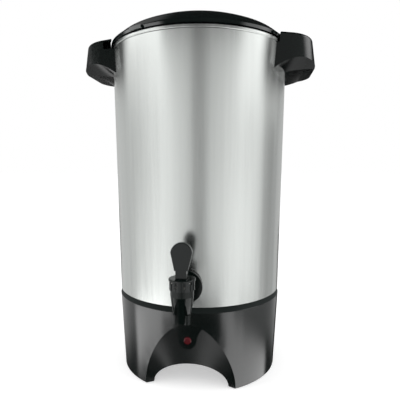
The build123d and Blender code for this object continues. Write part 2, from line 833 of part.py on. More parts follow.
# ---------------------------------------------------------------- appliance inlet
with BuildPart() as power_inlet:
    with BuildSketch(inlet_bezel):
        RectangleRounded(2 * inlet_flange_half_width, 2 * inlet_flange_half_height, inlet_flange_corner)
        with Locations((inlet_screw_offset, 0), (-inlet_screw_offset, 0)):
            Circle(inlet_screw_radius + seated_fit, mode=Mode.SUBTRACT)
    extrude(amount=inlet_flange_thickness)
    with BuildSketch(inlet_bezel):
        Rectangle(2 * (inlet_half_width + inlet_wall), 2 * (inlet_half_height + inlet_wall))
    extrude(amount=-inlet_depth - inlet_wall)
    with BuildSketch(inlet_bezel.offset(inlet_flange_thickness)):
        RectangleRounded(2 * inlet_half_width, 2 * inlet_half_height, inlet_mouth_corner)
    extrude(amount=-inlet_depth - inlet_flange_thickness, mode=Mode.SUBTRACT)
    with BuildSketch(inlet_bezel):
        with Locations((inlet_pin_spacing / 2, 0), (-inlet_pin_spacing / 2, 0)):
            Circle(inlet_pin_radius + seated_fit)
    extrude(amount=-2 * inlet_depth, mode=Mode.SUBTRACT)
save(power_inlet.part, "power_inlet")

inlet_back = inlet_pad_face - inlet_depth - inlet_wall
with BuildPart() as inlet_pins:
    with BuildSketch(inlet_bezel.offset(-inlet_depth - inlet_wall - inlet_pin_tail)):
        with Locations((inlet_pin_spacing / 2, 0), (-inlet_pin_spacing / 2, 0)):
            Circle(inlet_pin_radius)
    extrude(amount=inlet_pin_tail + inlet_wall + inlet_pin_length)
    fillet(inlet_pins.faces().sort_by(Axis.Y)[-2:].edges(), inlet_pin_round)
save(inlet_pins.part, "inlet_pins")

with BuildPart() as inlet_screws:
    with BuildSketch(inlet_bezel.offset(inlet_flange_thickness)):
        with Locations((inlet_screw_offset, 0), (-inlet_screw_offset, 0)):
            Circle(inlet_screw_head)
    extrude(amount=inlet_screw_radius)
    fillet(inlet_screws.faces().sort_by(Axis.Y)[-2:].edges(), inlet_screw_round)
    with BuildSketch(inlet_bezel.offset(inlet_flange_thickness)):
        with Locations((inlet_screw_offset, 0), (-inlet_screw_offset, 0)):
            Circle(inlet_screw_radius)
    extrude(amount=-inlet_flange_thickness - inlet_screw_length + rest_gap)
save(inlet_screws.part, "inlet_screws")

# ---------------------------------------------------------------- leads inside the base
pin_tail_y = inlet_back - inlet_pin_tail
terminal_end = element_height - terminal_drop
terminal_turn = math.radians(-90 + (360 - element_sweep) / 2 * terminal_spread)
blade_end = tank_floor - thermostat_height - thermostat_blade


def terminal_point(ring_radius, side):
    """Foot of a heater terminal: side is -1 to the left and 1 to the right."""
    return (
        side * ring_radius * math.cos(terminal_turn),
        ring_radius * math.sin(terminal_turn),
        terminal_end,
    )


live_pin = (inlet_pin_spacing / 2, pin_tail_y, inlet_height)
neutral_pin = (-inlet_pin_spacing / 2, pin_tail_y, inlet_height)
blade_near = (thermostat_circle, thermostat_blade_offset, blade_end)
blade_far = (thermostat_circle, -thermostat_blade_offset, blade_end)

boil_right = terminal_point(boil_ring_radius, 1)
boil_left = terminal_point(boil_ring_radius, -1)
swing_height = terminal_end - lead_swing_drop

save(lead([live_pin, (live_pin[0], live_pin[1] - lead_drop, inlet_height),
           (blade_near[0], lead_drop, inlet_height),
           (blade_near[0], blade_near[1], blade_end - lead_drop), blade_near]), "lead_live")
save(lead([blade_far, (blade_far[0], blade_far[1], blade_end - lead_drop),
           (boil_right[0] + lead_swing, boil_right[1] + lead_cross, swing_height),
           (boil_right[0], boil_right[1], terminal_end - lead_drop), boil_right]), "lead_heater")
save(lead([neutral_pin, (neutral_pin[0], neutral_pin[1] - lead_drop, inlet_height),
           (-neutral_side, neutral_back, inlet_height - neutral_sag),
           (boil_left[0] - neutral_sag, boil_left[1] + neutral_reach, swing_height),
           (boil_left[0], boil_left[1], terminal_end - lead_drop), boil_left]), "lead_neutral")

# ---------------------------------------------------------------- handles
slot_top = handle_top - slot_roof
slot_bottom = rim_room_bottom
arch_start = math.sqrt(rim_radius**2 - handle_half_width**2)
arch_end = arch_start + handle_arch_run


def handle_outline(inset, level):
    """Plan of a handle on the +X side on a level plane or a tilted one, inset by its draft."""
    wide = handle_half_width - inset
    wide_tip = handle_half_width_tip - inset
    reach = handle_reach - inset
    with BuildSketch(level, mode=Mode.PRIVATE) as plan:
        with BuildLine():
            Polyline((0, -wide - handle_root_flare), (arch_start, -wide), (reach, -wide_tip), (reach, wide_tip),
                     (arch_start, wide), (0, wide + handle_root_flare), close=True)
        make_face()
        fillet(plan.vertices().group_by(Axis.X)[-1], handle_corner - inset)
    return plan.sketch


def handle_block():
    """A handle's block with its sides leaning in and its top falling outwards."""
    lean = (handle_top - handle_foot) * math.tan(math.radians(handle_draft))
    tilt = math.radians(handle_top_tilt)
    top_plane = Plane(
        origin=(0, 0, handle_top + rim_radius * math.tan(tilt)),
        x_dir=(math.cos(tilt), 0, -math.sin(tilt)),
        z_dir=(math.sin(tilt), 0, math.cos(tilt)),
    )
    with BuildPart() as block:
        add(handle_outline(0, Plane.XY.offset(handle_foot)))
        add(handle_outline(lean, top_plane))
        loft(ruled=True)
    return block.part


def under_space(turn):
    """The space below a handle: turn is 1 or -1 for its front at -Y or +Y."""
    with BuildPart() as space:
        for place, edge, bulge in (
            (handle_half_width, handle_front_edge, handle_front_bulge),
            (handle_waist, handle_waist_edge, handle_waist_bulge),
            (-handle_half_width, handle_back_edge, handle_back_bulge),
        ):
            with BuildSketch(Plane.XZ.offset(turn * place)):
                with BuildLine():
                    arch = ThreePointArc(
                        (arch_start, handle_foot),
                        ((arch_start + arch_end) / 2, (handle_foot + edge) / 2 + bulge),
                        (arch_end, edge),
                    )
                    Polyline(arch @ 1, (2 * handle_reach, edge), (2 * handle_reach, 0),
                             (arch_start, 0), arch @ 0)
                make_face()
        loft(ruled=True)
    return space.part


def screw_seat(turn):
    """Plane on the tank's inside at one screw of the handle at +X, facing outwards."""
    wall = tank_radius(handle_screw_height) - tank_wall
    a = math.radians(turn)
    outward = (math.cos(a), math.sin(a), 0)
    origin = (wall * outward[0], wall * outward[1], handle_screw_height)
    return Plane(origin, x_dir=(0, 0, 1), z_dir=outward)


def slot_plan():
    """Plan of the slot that takes the lid's lug, open towards one side of the handle."""
    with BuildSketch(mode=Mode.PRIVATE) as plan:
        with BuildLine():
            outer = CenterArc((0, 0), slot_reach, slot_start, slot_end - slot_start)
            inner = CenterArc((0, 0), lid_flange_radius, slot_start, slot_end - slot_start)
            Line(outer @ 0, inner @ 0)
            Line(outer @ 1, inner @ 1)
        make_face()
    return plan.sketch


def handle(turn):
    """A handle on the +X side: turn is 1 or -1 for its front at -Y or +Y."""
    with BuildPart() as solid:
        add(handle_block())
        top_edges = solid.faces().sort_by(Axis.Z)[-1].edges()
        fillet([e for e in top_edges if e.center().X > handle_reach / 2], handle_top_edge)
        add(under_space(turn), mode=Mode.SUBTRACT)
        add(tank_outside, mode=Mode.SUBTRACT)
        # Room for the rolled rim and the lid's flange
        with BuildSketch(Plane.XY.offset(rim_room_bottom)):
            Circle(lid_flange_radius + lid_clearance)
        extrude(amount=2 * (handle_top - rim_room_bottom), mode=Mode.SUBTRACT)
        with BuildSketch(Plane.XY.offset(slot_bottom)):
            add(slot_plan())
        extrude(amount=slot_top - slot_bottom, mode=Mode.SUBTRACT)
        for angle in (-handle_screw_angle, handle_screw_angle):
            with BuildSketch(screw_seat(angle)):
                Circle(handle_screw_radius + seated_fit)
            extrude(amount=handle_screw_length, mode=Mode.SUBTRACT)
    return solid.part


save(handle(1), "handle_right")
save(handle(-1).rotate(Axis.Z, 180), "handle_left")

with BuildPart() as handle_screws:
    for place in handle_screw_planes():
        with BuildSketch(place.offset(-rest_gap)):
            Circle(handle_screw_head)
        extrude(amount=-handle_screw_head_height)
        with BuildSketch(place.offset(-rest_gap)):
            Circle(handle_screw_radius)
        extrude(amount=handle_screw_length)
save(handle_screws.part, "handle_screws")

# ---------------------------------------------------------------- lid
flange_top = lid_bottom + lid_flange_height
dome = [(lid_flange_radius - inset, flange_top + rise) for inset, rise in lid_crown]
lid_dome_top = dome[-1][1]
plug_radius = rim_radius + bead_proud - 2 * bead_radius - lid_plug_clearance
plug_bore = plug_radius - lid_plug_wall
screw_hole = knob_screw_radius + running_fit
lining = [(radius, height - lid_wall) for radius, height in dome if radius < plug_bore]

with BuildPart() as lid:
    with BuildSketch(Plane.XZ):
        with BuildLine():
            Line((screw_hole, lid_dome_top), dome[-1])
            Spline(*dome[::-1], (lid_flange_radius, flange_top), tangents=((1, 0), (0.9, -1)))
            Polyline(
                (lid_flange_radius, flange_top),
                (lid_flange_radius, lid_bottom),
                (plug_radius, lid_bottom),
                (plug_radius, lid_bottom - lid_plug_depth),
                (plug_bore, lid_bottom - lid_plug_depth),
                (plug_bore, lining[0][1] - lid_wall / 2),
                lining[0],
            )
            Spline(*lining, tangents=((-1, 0.4), (-1, 0)))
            Polyline(lining[-1], (screw_hole, lining[-1][1]), (screw_hole, lid_dome_top))
        make_face()
    revolve(axis=Axis.Z)
    rims = lid.edges().filter_by(GeomType.CIRCLE)
    fillet(rims.sort_by_distance((lid_flange_radius, 0, flange_top))[0], lid_edge)
    # Two locking lugs and two index tabs, each pair opposite each other
    lug_top = slot_top - lug_gap
    half_lug = lug_width / 2
    for middle in (lug_rest_angle, 180 + lug_rest_angle):
        lug_face = Plane.XZ.rotated((0, 0, middle - half_lug))
        with BuildSketch(lug_face):
            with BuildLine():
                Polyline(
                    (lid_flange_radius - lug_depth, lid_bottom),
                    (lug_reach, lid_bottom),
                    (lug_reach, lug_top),
                    (lid_flange_radius - lug_depth, lug_top),
                    close=True,
                )
            make_face()
        revolve(axis=Axis.Z, revolution_arc=lug_width)
    for middle in (-tab_rest_angle, 180 - tab_rest_angle):
        with BuildSketch(Plane.XZ.rotated((0, 0, middle - tab_width / 2))):
            with BuildLine():
                Polyline(
                    (lid_flange_radius - tab_depth, lid_bottom),
                    (tab_reach, lid_bottom),
                    (tab_reach, flange_top - tab_drop),
                    (lid_flange_radius - tab_depth, flange_top - tab_drop),
                    close=True,
                )
            make_face()
        revolve(axis=Axis.Z, revolution_arc=tab_width)
save(lid.part, "lid")

# ---------------------------------------------------------------- lid knob
knob_bottom = lid_dome_top + rest_gap
knob_top = knob_bottom + knob_neck_height + knob_head_height
with BuildPart() as lid_knob:
    with BuildSketch(Plane.XY.offset(knob_bottom)):
        Circle(knob_neck_radius)
    extrude(amount=knob_neck_height)
    with BuildSketch(Plane.XY.offset(knob_bottom + knob_neck_height)):
        Circle(knob_radius)
    extrude(amount=knob_head_height)
    fillet(lid_knob.faces().sort_by(Axis.Z)[-1].edges(), knob_edge)
    fillet(
        lid_knob.edges().filter_by(GeomType.CIRCLE).sort_by_distance(
            (knob_radius, 0, knob_bottom + knob_neck_height))[0],
        knob_edge / 2,
    )
    with BuildSketch(Plane.XY.offset(knob_bottom)):
        Circle(knob_screw_radius + seated_fit)
    extrude(amount=knob_screw_grip, mode=Mode.SUBTRACT)
save(lid_knob.part, "lid_knob")

knob_screw_seat = lid_dome_top - lid_wall - rest_gap
with BuildPart() as knob_screw:
    with BuildSketch(Plane.XY.offset(knob_screw_seat - knob_screw_head_height)):
        Circle(knob_screw_head)
    extrude(amount=knob_screw_head_height)
    with BuildSketch(Plane.XY.offset(knob_screw_seat)):
        Circle(knob_screw_radius)
    extrude(amount=knob_bottom + knob_screw_grip - knob_screw_seat)
save(knob_screw.part, "knob_screw")

# ---------------------------------------------------------------- pump
foot_bottom = well_floor + rest_gap
foot_cup_radius = well_radius - foot_cup_clearance
stem_top = basket_top + stem_rise
foot_plate_top = foot_bottom + foot_cup_height
collar_bottom = foot_plate_top + 2 * rest_gap + washer_thickness + washer_travel
basket_collar_bottom = basket_bottom - rest_gap - basket_collar_height
with BuildPart() as pump_stem:
    add(ring(stem_bore, stem_radius, well_floor + stem_inlet, stem_top))
    add(ring(stem_bore, collar_radius, collar_bottom, collar_bottom + collar_height))
    add(ring(stem_bore, basket_collar_radius, basket_collar_bottom,
             basket_collar_bottom + basket_collar_height))
save(pump_stem.part, "pump_stem")

with BuildPart() as pump_foot:
    add(turned([
        (stem_radius, foot_plate_top - foot_cup_wall),
        (foot_cup_radius - foot_cup_wall, foot_plate_top - foot_cup_wall),
        (foot_cup_radius - foot_cup_wall, foot_bottom),
        (foot_cup_radius, foot_bottom),
        (foot_cup_radius, foot_plate_top),
        (stem_radius, foot_plate_top),
    ]))
    with BuildSketch(Plane.XY.offset(foot_plate_top - foot_cup_wall)):
        with PolarLocations(stem_radius + foot_port_margin, foot_port_count):
            Circle(foot_port_radius)
    extrude(amount=foot_cup_wall, mode=Mode.SUBTRACT)
save(pump_foot.part, "pump_foot")

save(ring(stem_radius + loose_fit, washer_radius, foot_plate_top + rest_gap,
          foot_plate_top + rest_gap + washer_thickness), "pump_washer")

# ---------------------------------------------------------------- basket and spreader
sleeve_inner = stem_radius + loose_fit


def perforation(hole_radius, bottom, depth):
    """Rings of small cylinders, to cut the holes through a flat floor."""
    with BuildPart() as holes:
        with BuildSketch(Plane.XY.offset(bottom)):
            for n in range(basket_hole_rings):
                circle = basket_hole_first_ring + n * basket_hole_ring_step
                count = int(2 * math.pi * circle / basket_hole_pitch)
                with PolarLocations(circle, count):
                    Circle(hole_radius)
        extrude(amount=depth)
    return holes.part


with BuildPart() as basket:
    add(turned([
        (sleeve_inner, basket_bottom),
        (basket_radius, basket_bottom),
        (basket_radius, basket_top),
        (basket_radius - basket_wall, basket_top),
        (basket_radius - basket_wall, basket_bottom + basket_wall),
        (sleeve_inner + basket_sleeve_wall, basket_bottom + basket_wall),
        (sleeve_inner + basket_sleeve_wall, basket_top - spreader_dish),
        (sleeve_inner, basket_top - spreader_dish),
    ]))
    add(perforation(basket_hole_radius, basket_bottom, basket_wall), mode=Mode.SUBTRACT)
save(basket.part, "basket")

spreader_bottom = basket_top + rest_gap
lip_inner = basket_radius + loose_fit
with BuildPart() as spreader:
    add(turned([
        (sleeve_inner, spreader_bottom),
        (lip_inner, spreader_bottom),
        (lip_inner, spreader_bottom - spreader_lip),
        (lip_inner + spreader_wall, spreader_bottom - spreader_lip),
        (lip_inner + spreader_wall, spreader_bottom + spreader_wall),
        (sleeve_inner, spreader_bottom + spreader_wall),
    ]))
    add(perforation(spreader_hole_radius, spreader_bottom, spreader_wall), mode=Mode.SUBTRACT)
save(spreader.part, "spreader")

# ---------------------------------------------------------------- tap
front_plane = Plane((0, -tap_axis, 0), x_dir=(1, 0, 0), z_dir=(0, -1, 0))

with BuildPart() as tap_body:
    with BuildSketch(front_plane):
        with BuildLine():
            Polyline(
                (0, barrel_bottom),
                (spout_radius - spout_edge, barrel_bottom),
                (spout_radius, barrel_bottom + spout_edge),
                (shin_radius, tap_height - shin_drop),
                (waist_radius, barrel_waist),
                (barrel_radius, tap_height - barrel_shoulder_drop),
                (barrel_radius, barrel_top),
                (barrel_neck_radius, barrel_top),
                (barrel_neck_radius, barrel_top + barrel_neck_height),
                (0, barrel_top + barrel_neck_height),
                close=True,
            )
        make_face()
    revolve(axis=Axis((0, -tap_axis, 0), (0, 0, 1)))
    # Flats that slope back either side of the front rib
    for side in (-1, 1):
        with BuildSketch(Plane.YZ.offset(side * rib_half_width)):
            with BuildLine():
                Polyline(
                    (-tap_axis - facet_top_depth, tap_height - barrel_shoulder_drop),
                    (-tap_axis - facet_foot_depth, barrel_bottom),
                    (-tap_axis - facet_foot_depth, barrel_bottom - spout_edge),
                    (-tap_axis - 2 * barrel_radius, barrel_bottom - spout_edge),
                    (-tap_axis - 2 * barrel_radius, tap_height - barrel_shoulder_drop),
                    close=True,
                )
            make_face()
        extrude(amount=side * 2 * barrel_radius, mode=Mode.SUBTRACT)
    with BuildSketch(Plane.XY.offset(barrel_bottom)):
        with Locations((lobe_offset, -tap_axis - lobe_forward), (-lobe_offset, -tap_axis - lobe_forward)):
            Circle(lobe_radius)
    extrude(amount=lobe_height)
    with BuildSketch(tap_plane.offset(-tap_axis)):
        with Locations((0, -throat_drop)):
            Circle(throat_radius)
    extrude(amount=tap_front + tap_axis)
    with BuildSketch(tap_plane.offset(tap_front - shank_flange_thickness)):
        Circle(shank_flange_radius)
    extrude(amount=shank_flange_thickness)
    with BuildSketch(tap_plane.offset(tap_front)):
        Circle(shank_radius)
    extrude(amount=shank_end - tap_front)
    with BuildSketch(Plane.XY.offset(seat_height)):
        with Locations(tap_center):
            Circle(chamber_radius)
    extrude(amount=barrel_top, mode=Mode.SUBTRACT)
    with BuildSketch(Plane.XY.offset(barrel_bottom - 2 * spout_edge)):
        with Locations(tap_center):
            Circle(outlet_radius)
    extrude(amount=barrel_top - barrel_bottom, mode=Mode.SUBTRACT)
    with BuildSketch(tap_plane.offset(-tap_axis)):
        with Locations((0, -throat_drop)):
            Circle(throat_bore)
    extrude(amount=tap_front + tap_axis - shank_flange_thickness, mode=Mode.SUBTRACT)
    with BuildSketch(tap_plane.offset(tap_front - shank_flange_thickness)):
        Circle(shank_bore)
    extrude(amount=tap_axis, mode=Mode.SUBTRACT)
save(tap_body.part, "tap_body")

with BuildPart() as tap_gasket:
    with BuildSketch(tap_plane.offset(tap_front)):
        Circle(tap_gasket_radius)
        Circle(shank_radius + seated_fit, mode=Mode.SUBTRACT)
    extrude(amount=tap_gasket_thickness * 2)
    add(tank_outside, mode=Mode.SUBTRACT)
save(tap_gasket.part, "tap_gasket")

with BuildPart() as tap_inner_gasket:
    with BuildSketch(tap_plane.offset(tap_wall_inside - inner_gasket_thickness)):
        Circle(inner_gasket_radius)
        Circle(shank_radius + seated_fit, mode=Mode.SUBTRACT)
    extrude(amount=inner_gasket_thickness * 2)
    add(tank_inside, mode=Mode.INTERSECT)
save(tap_inner_gasket.part, "tap_inner_gasket")

with BuildPart() as tap_nut:
    with BuildSketch(tap_plane.offset(inner_gasket_end)):
        RegularPolygon(tap_nut_across_flats / 2, 6, major_radius=False, rotation=30)
        Circle(shank_radius + seated_fit, mode=Mode.SUBTRACT)
    extrude(amount=tap_nut_height)
save(tap_nut.part, "tap_nut")

seal_bottom = barrel_top + barrel_neck_height
seal_top = seal_bottom + seal_thickness
with BuildPart() as bonnet_seal:
    with BuildSketch(Plane.XY.offset(seal_bottom)):
        with Locations(tap_center):
            Circle(barrel_neck_radius)
            Circle(valve_rod_radius + running_fit, mode=Mode.SUBTRACT)
    extrude(amount=seal_thickness)
save(bonnet_seal.part, "bonnet_seal")

pivot_y = -tap_axis - pivot_forward
slot_half = cheek_half_width + cheek_gap
with BuildPart() as tap_bonnet:
    with BuildSketch(Plane.XY.offset(barrel_top)):
        with Locations(tap_center):
            Circle(bonnet_grip_radius)
            with PolarLocations(bonnet_grip_radius, bonnet_groove_count, 180 / bonnet_groove_count):
                Rectangle(2 * bonnet_groove, bonnet_groove_width, mode=Mode.SUBTRACT)
    extrude(amount=bonnet_height - bonnet_flange)
    with BuildSketch(Plane.XY.offset(bonnet_top - bonnet_flange)):
        with Locations(tap_center):
            Circle(bonnet_radius)
    extrude(amount=bonnet_flange)
    fillet(tap_bonnet.faces().sort_by(Axis.Z)[-1].edges(), bonnet_edge)
    with BuildSketch(Plane.XY.offset(barrel_top)):
        with Locations(tap_center):
            Circle(barrel_neck_radius + seated_fit)
    extrude(amount=barrel_neck_height + seal_thickness, mode=Mode.SUBTRACT)
    slot_front = pivot_y - hub_radius - hub_room
    slot_back = -tap_axis + blade_back + hub_room
    with BuildSketch(Plane.XY.offset(seal_top - lever_slot_drop)):
        with Locations((0, (slot_front + slot_back) / 2)):
            Rectangle(2 * slot_half, slot_back - slot_front)
    extrude(amount=bonnet_top, mode=Mode.SUBTRACT)
    with BuildSketch(Plane((-bonnet_radius, pivot_y, pivot_height), x_dir=(0, 1, 0), z_dir=(1, 0, 0))):
        Circle(pivot_radius + seated_fit)
    extrude(amount=2 * bonnet_radius, mode=Mode.SUBTRACT)
save(tap_bonnet.part, "tap_bonnet")


def cross_pin(y, half_length):
    """A pin along X through the tap's lever."""
    with BuildPart() as pin:
        with BuildSketch(Plane((-half_length, y, pivot_height), x_dir=(0, 1, 0), z_dir=(1, 0, 0))):
            Circle(pivot_radius)
        extrude(amount=2 * half_length)
    return pin.part


save(cross_pin(pivot_y, pivot_half_length), "lever_pivot_pin")
save(cross_pin(-tap_axis, cheek_half_width), "valve_link_pin")

# Lever: side outline times front outline, then the fork and the holes
lever_back = -tap_axis + hub_radius
with BuildPart() as tap_lever:
    with BuildSketch(Plane.YZ.offset(-paddle_half_width)):
        with BuildLine():
            Polyline(
                (pivot_y, pivot_height - hub_radius),
                (lever_back, pivot_height - hub_radius),
                (lever_back, lever_neck_top),
                (lever_back - paddle_step, lever_neck_top + paddle_step),
                (lever_back - paddle_step, paddle_top),
                (lever_back - paddle_step - paddle_thickness, paddle_top),
                (pivot_y, lever_neck_top + paddle_step),
                close=True,
            )
        make_face()
        with Locations((pivot_y, pivot_height)):
            Circle(hub_radius)
    extrude(amount=2 * paddle_half_width)
    with BuildSketch(front_plane.offset(-3 * hub_radius)):
        with BuildLine():
            crown = paddle_top - paddle_crown_height
            Polyline(
                (-paddle_half_width, crown),
                (-paddle_foot_half_width, lever_neck_top),
                (-cheek_half_width, lever_neck_top),
                (-cheek_half_width, pivot_height - 2 * hub_radius),
                (cheek_half_width, pivot_height - 2 * hub_radius),
                (cheek_half_width, lever_neck_top),
                (paddle_foot_half_width, lever_neck_top),
                (paddle_half_width, crown),
            )
            ThreePointArc((paddle_half_width, crown), (0, paddle_top), (-paddle_half_width, crown))
        make_face()
    extrude(amount=8 * hub_radius, mode=Mode.INTERSECT)
    paddle_middle = (0, pivot_y - paddle_thickness, (lever_neck_top + paddle_top) / 2)
    front = tap_lever.faces().sort_by_distance(paddle_middle)[0]
    rim = [edge for edge in front.edges() if edge.center().Z > lever_neck_top + 2 * paddle_step]
    chamfer(rim, paddle_edge)
    # Proud panel down the neck's front
    for side in (-1, 1):
        with BuildSketch(front_plane.offset(hub_radius + pivot_forward - neck_panel_proud)):
            panel_bottom = pivot_height + hub_radius
            beside = side * (neck_panel_half_width + cheek_half_width)
            with Locations((beside, (panel_bottom + lever_neck_top) / 2)):
                Rectangle(2 * cheek_half_width, lever_neck_top - panel_bottom)
        extrude(amount=paddle_thickness, mode=Mode.SUBTRACT)
    # Fork that straddles the valve blade
    with BuildSketch(Plane.YZ.offset(-blade_half_thickness - cheek_gap)):
        with BuildLine():
            web = pivot_y + lever_web
            Polyline(
                (pivot_y - 2 * hub_radius, pivot_height - 2 * hub_radius),
                (0, pivot_height - 2 * hub_radius),
                (0, pivot_height + blade_top + fork_roof),
                (web, pivot_height + blade_top + fork_roof),
                (web, pivot_height + fork_front_rise),
                (pivot_y - 2 * hub_radius, pivot_height + fork_front_rise),
                close=True,
            )
        make_face()
    extrude(amount=2 * (blade_half_thickness + cheek_gap), mode=Mode.SUBTRACT)
    with BuildSketch(Plane((-paddle_half_width, pivot_y, pivot_height), x_dir=(0, 1, 0), z_dir=(1, 0, 0))):
        Circle(pivot_radius + running_fit)
        with Locations((pivot_forward, 0)):
            Circle(pivot_radius + seated_fit)
    extrude(amount=2 * paddle_half_width, mode=Mode.SUBTRACT)
save(tap_lever.part, "tap_lever")

# Valve rod with the slotted blade that the lever lifts
with BuildPart() as valve_rod:
    with BuildSketch(Plane.XY.offset(valve_rod_end)):
        with Locations(tap_center):
            Circle(valve_rod_radius)
    extrude(amount=pivot_height - rod_shoulder - valve_rod_end)
    with BuildSketch(Plane.XY.offset(pivot_height - rod_shoulder - rest_gap)):
        with Locations(tap_center):
            Rectangle(2 * blade_half_thickness, 2 * blade_root)
    extrude(amount=rod_shoulder - pivot_radius - 3 * rest_gap)
    with BuildSketch(Plane.YZ.offset(-blade_half_thickness)):
        with Locations((-tap_axis + (blade_back - blade_front) / 2,
                        pivot_height + (blade_top - blade_bottom) / 2)):
            RectangleRounded(blade_back + blade_front, blade_top + blade_bottom, blade_corner)
        with Locations((-tap_axis - pin_shift / 2, pivot_height + blade_slot_rise)):
            SlotOverall(pin_shift + 2 * (pivot_radius + rest_gap), 2 * (pivot_radius + rest_gap),
                        mode=Mode.SUBTRACT)
    extrude(amount=2 * blade_half_thickness)
save(valve_rod.part, "valve_rod")

with BuildPart() as seat_cup:
    with BuildSketch(Plane.XY.offset(seat_height + rest_gap)):
        with Locations(tap_center):
            Circle(cup_radius)
    extrude(amount=cup_height)
    fillet(seat_cup.faces().sort_by(Axis.Z)[0].edges(), cup_round)
    with BuildSketch(Plane.XY.offset(valve_rod_end)):
        with Locations(tap_center):
            Circle(valve_rod_radius)
    extrude(amount=cup_height, mode=Mode.SUBTRACT)
save(seat_cup.part, "seat_cup")

print("valve lift", round(valve_lift, 3), "ratio m/rad", round(valve_lift / math.radians(lever_tilt) / 1000, 6))
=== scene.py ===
"""Looks of a percolating coffee urn, built round its CAD frame and laid out as an add-on."""

import json
import math

import bmesh
import bpy
from bpy.props import FloatProperty, FloatVectorProperty, PointerProperty
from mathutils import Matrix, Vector


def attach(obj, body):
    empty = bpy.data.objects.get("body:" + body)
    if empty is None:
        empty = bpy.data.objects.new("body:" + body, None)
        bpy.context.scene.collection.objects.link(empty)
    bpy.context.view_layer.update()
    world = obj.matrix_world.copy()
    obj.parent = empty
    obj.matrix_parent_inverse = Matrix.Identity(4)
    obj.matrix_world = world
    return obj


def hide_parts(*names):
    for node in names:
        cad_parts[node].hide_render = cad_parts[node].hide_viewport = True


bl_info = {
    "name": "Coffee Urn Looks",
    "version": (1, 0, 0),
    "blender": (4, 5, 0),
    "location": "View3D > Sidebar > Coffee Urn",
    "description": "Materials, finer pieces and a studio for a percolating coffee urn",
    "category": "Object",
}

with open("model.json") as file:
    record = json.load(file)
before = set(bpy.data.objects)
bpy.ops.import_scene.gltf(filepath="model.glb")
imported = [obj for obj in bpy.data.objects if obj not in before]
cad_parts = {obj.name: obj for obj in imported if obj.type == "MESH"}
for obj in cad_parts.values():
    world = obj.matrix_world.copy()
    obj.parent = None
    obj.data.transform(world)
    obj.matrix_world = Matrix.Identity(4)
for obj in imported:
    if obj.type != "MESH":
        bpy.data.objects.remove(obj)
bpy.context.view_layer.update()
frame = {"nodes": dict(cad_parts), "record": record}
NODES = frame["nodes"]
BODY_OF = {
    node: body
    for body, nodes in frame["record"]["behaviour"]["bodies"].items()
    for node in nodes
}


# ------------------------------------------------------------------ shader maths
class Value:
    """A shader or geometry socket that takes part in Python expressions."""

    def __init__(self, tree, socket):
        self.tree = tree
        self.socket = socket

    def _math(self, operation, *others):
        node = self.tree.nodes.new("ShaderNodeMath")
        node.operation = operation
        for slot, item in zip(node.inputs, (self,) + others):
            connect(self.tree, slot, item)
        return Value(self.tree, node.outputs[0])

    def _flipped(self, operation, other):
        node = self.tree.nodes.new("ShaderNodeMath")
        node.operation = operation
        connect(self.tree, node.inputs[0], other)
        connect(self.tree, node.inputs[1], self)
        return Value(self.tree, node.outputs[0])

    def __add__(self, other):
        return self._math("ADD", other)

    __radd__ = __add__

    def __sub__(self, other):
        return self._math("SUBTRACT", other)

    def __rsub__(self, other):
        return self._flipped("SUBTRACT", other)

    def __mul__(self, other):
        return self._math("MULTIPLY", other)

    __rmul__ = __mul__

    def power(self, other):
        return self._math("POWER", other)

    def maximum(self, other):
        return self._math("MAXIMUM", other)

    def sine(self):
        return self._math("SINE")

    def angle(self, other):
        return self._math("ARCTAN2", other)

    def step(self, low, high, bottom=0.0, top=1.0):
        """A smooth step from bottom at low to top at high."""
        node = self.tree.nodes.new("ShaderNodeMapRange")
        node.interpolation_type = "SMOOTHSTEP"
        for name, item in (
            ("Value", self), ("From Min", low), ("From Max", high), ("To Min", bottom), ("To Max", top),
        ):
            connect(self.tree, node.inputs[name], item)
        return Value(self.tree, node.outputs["Result"])


def connect(tree, slot, item):
    """Link a value into a socket, or set the socket to a constant."""
    if isinstance(item, Value):
        tree.links.new(item.socket, slot)
    else:
        slot.default_value = item


class NodeTree:
    """A node tree with one method that adds a node."""

    def __init__(self, tree):
        self.tree = tree

    def node(self, kind, settings=None, inputs=None, out=0):
        """Add a node of a type with settings and inputs, and return one of its outputs."""
        node = self.tree.nodes.new(kind)
        for name, item in (settings or {}).items():
            setattr(node, name, item)
        for name, item in (inputs or {}).items():
            for part in item if isinstance(item, list) else [item]:
                connect(self.tree, node.inputs[name], part)
        return Value(self.tree, node.outputs[out]) if node.outputs else node


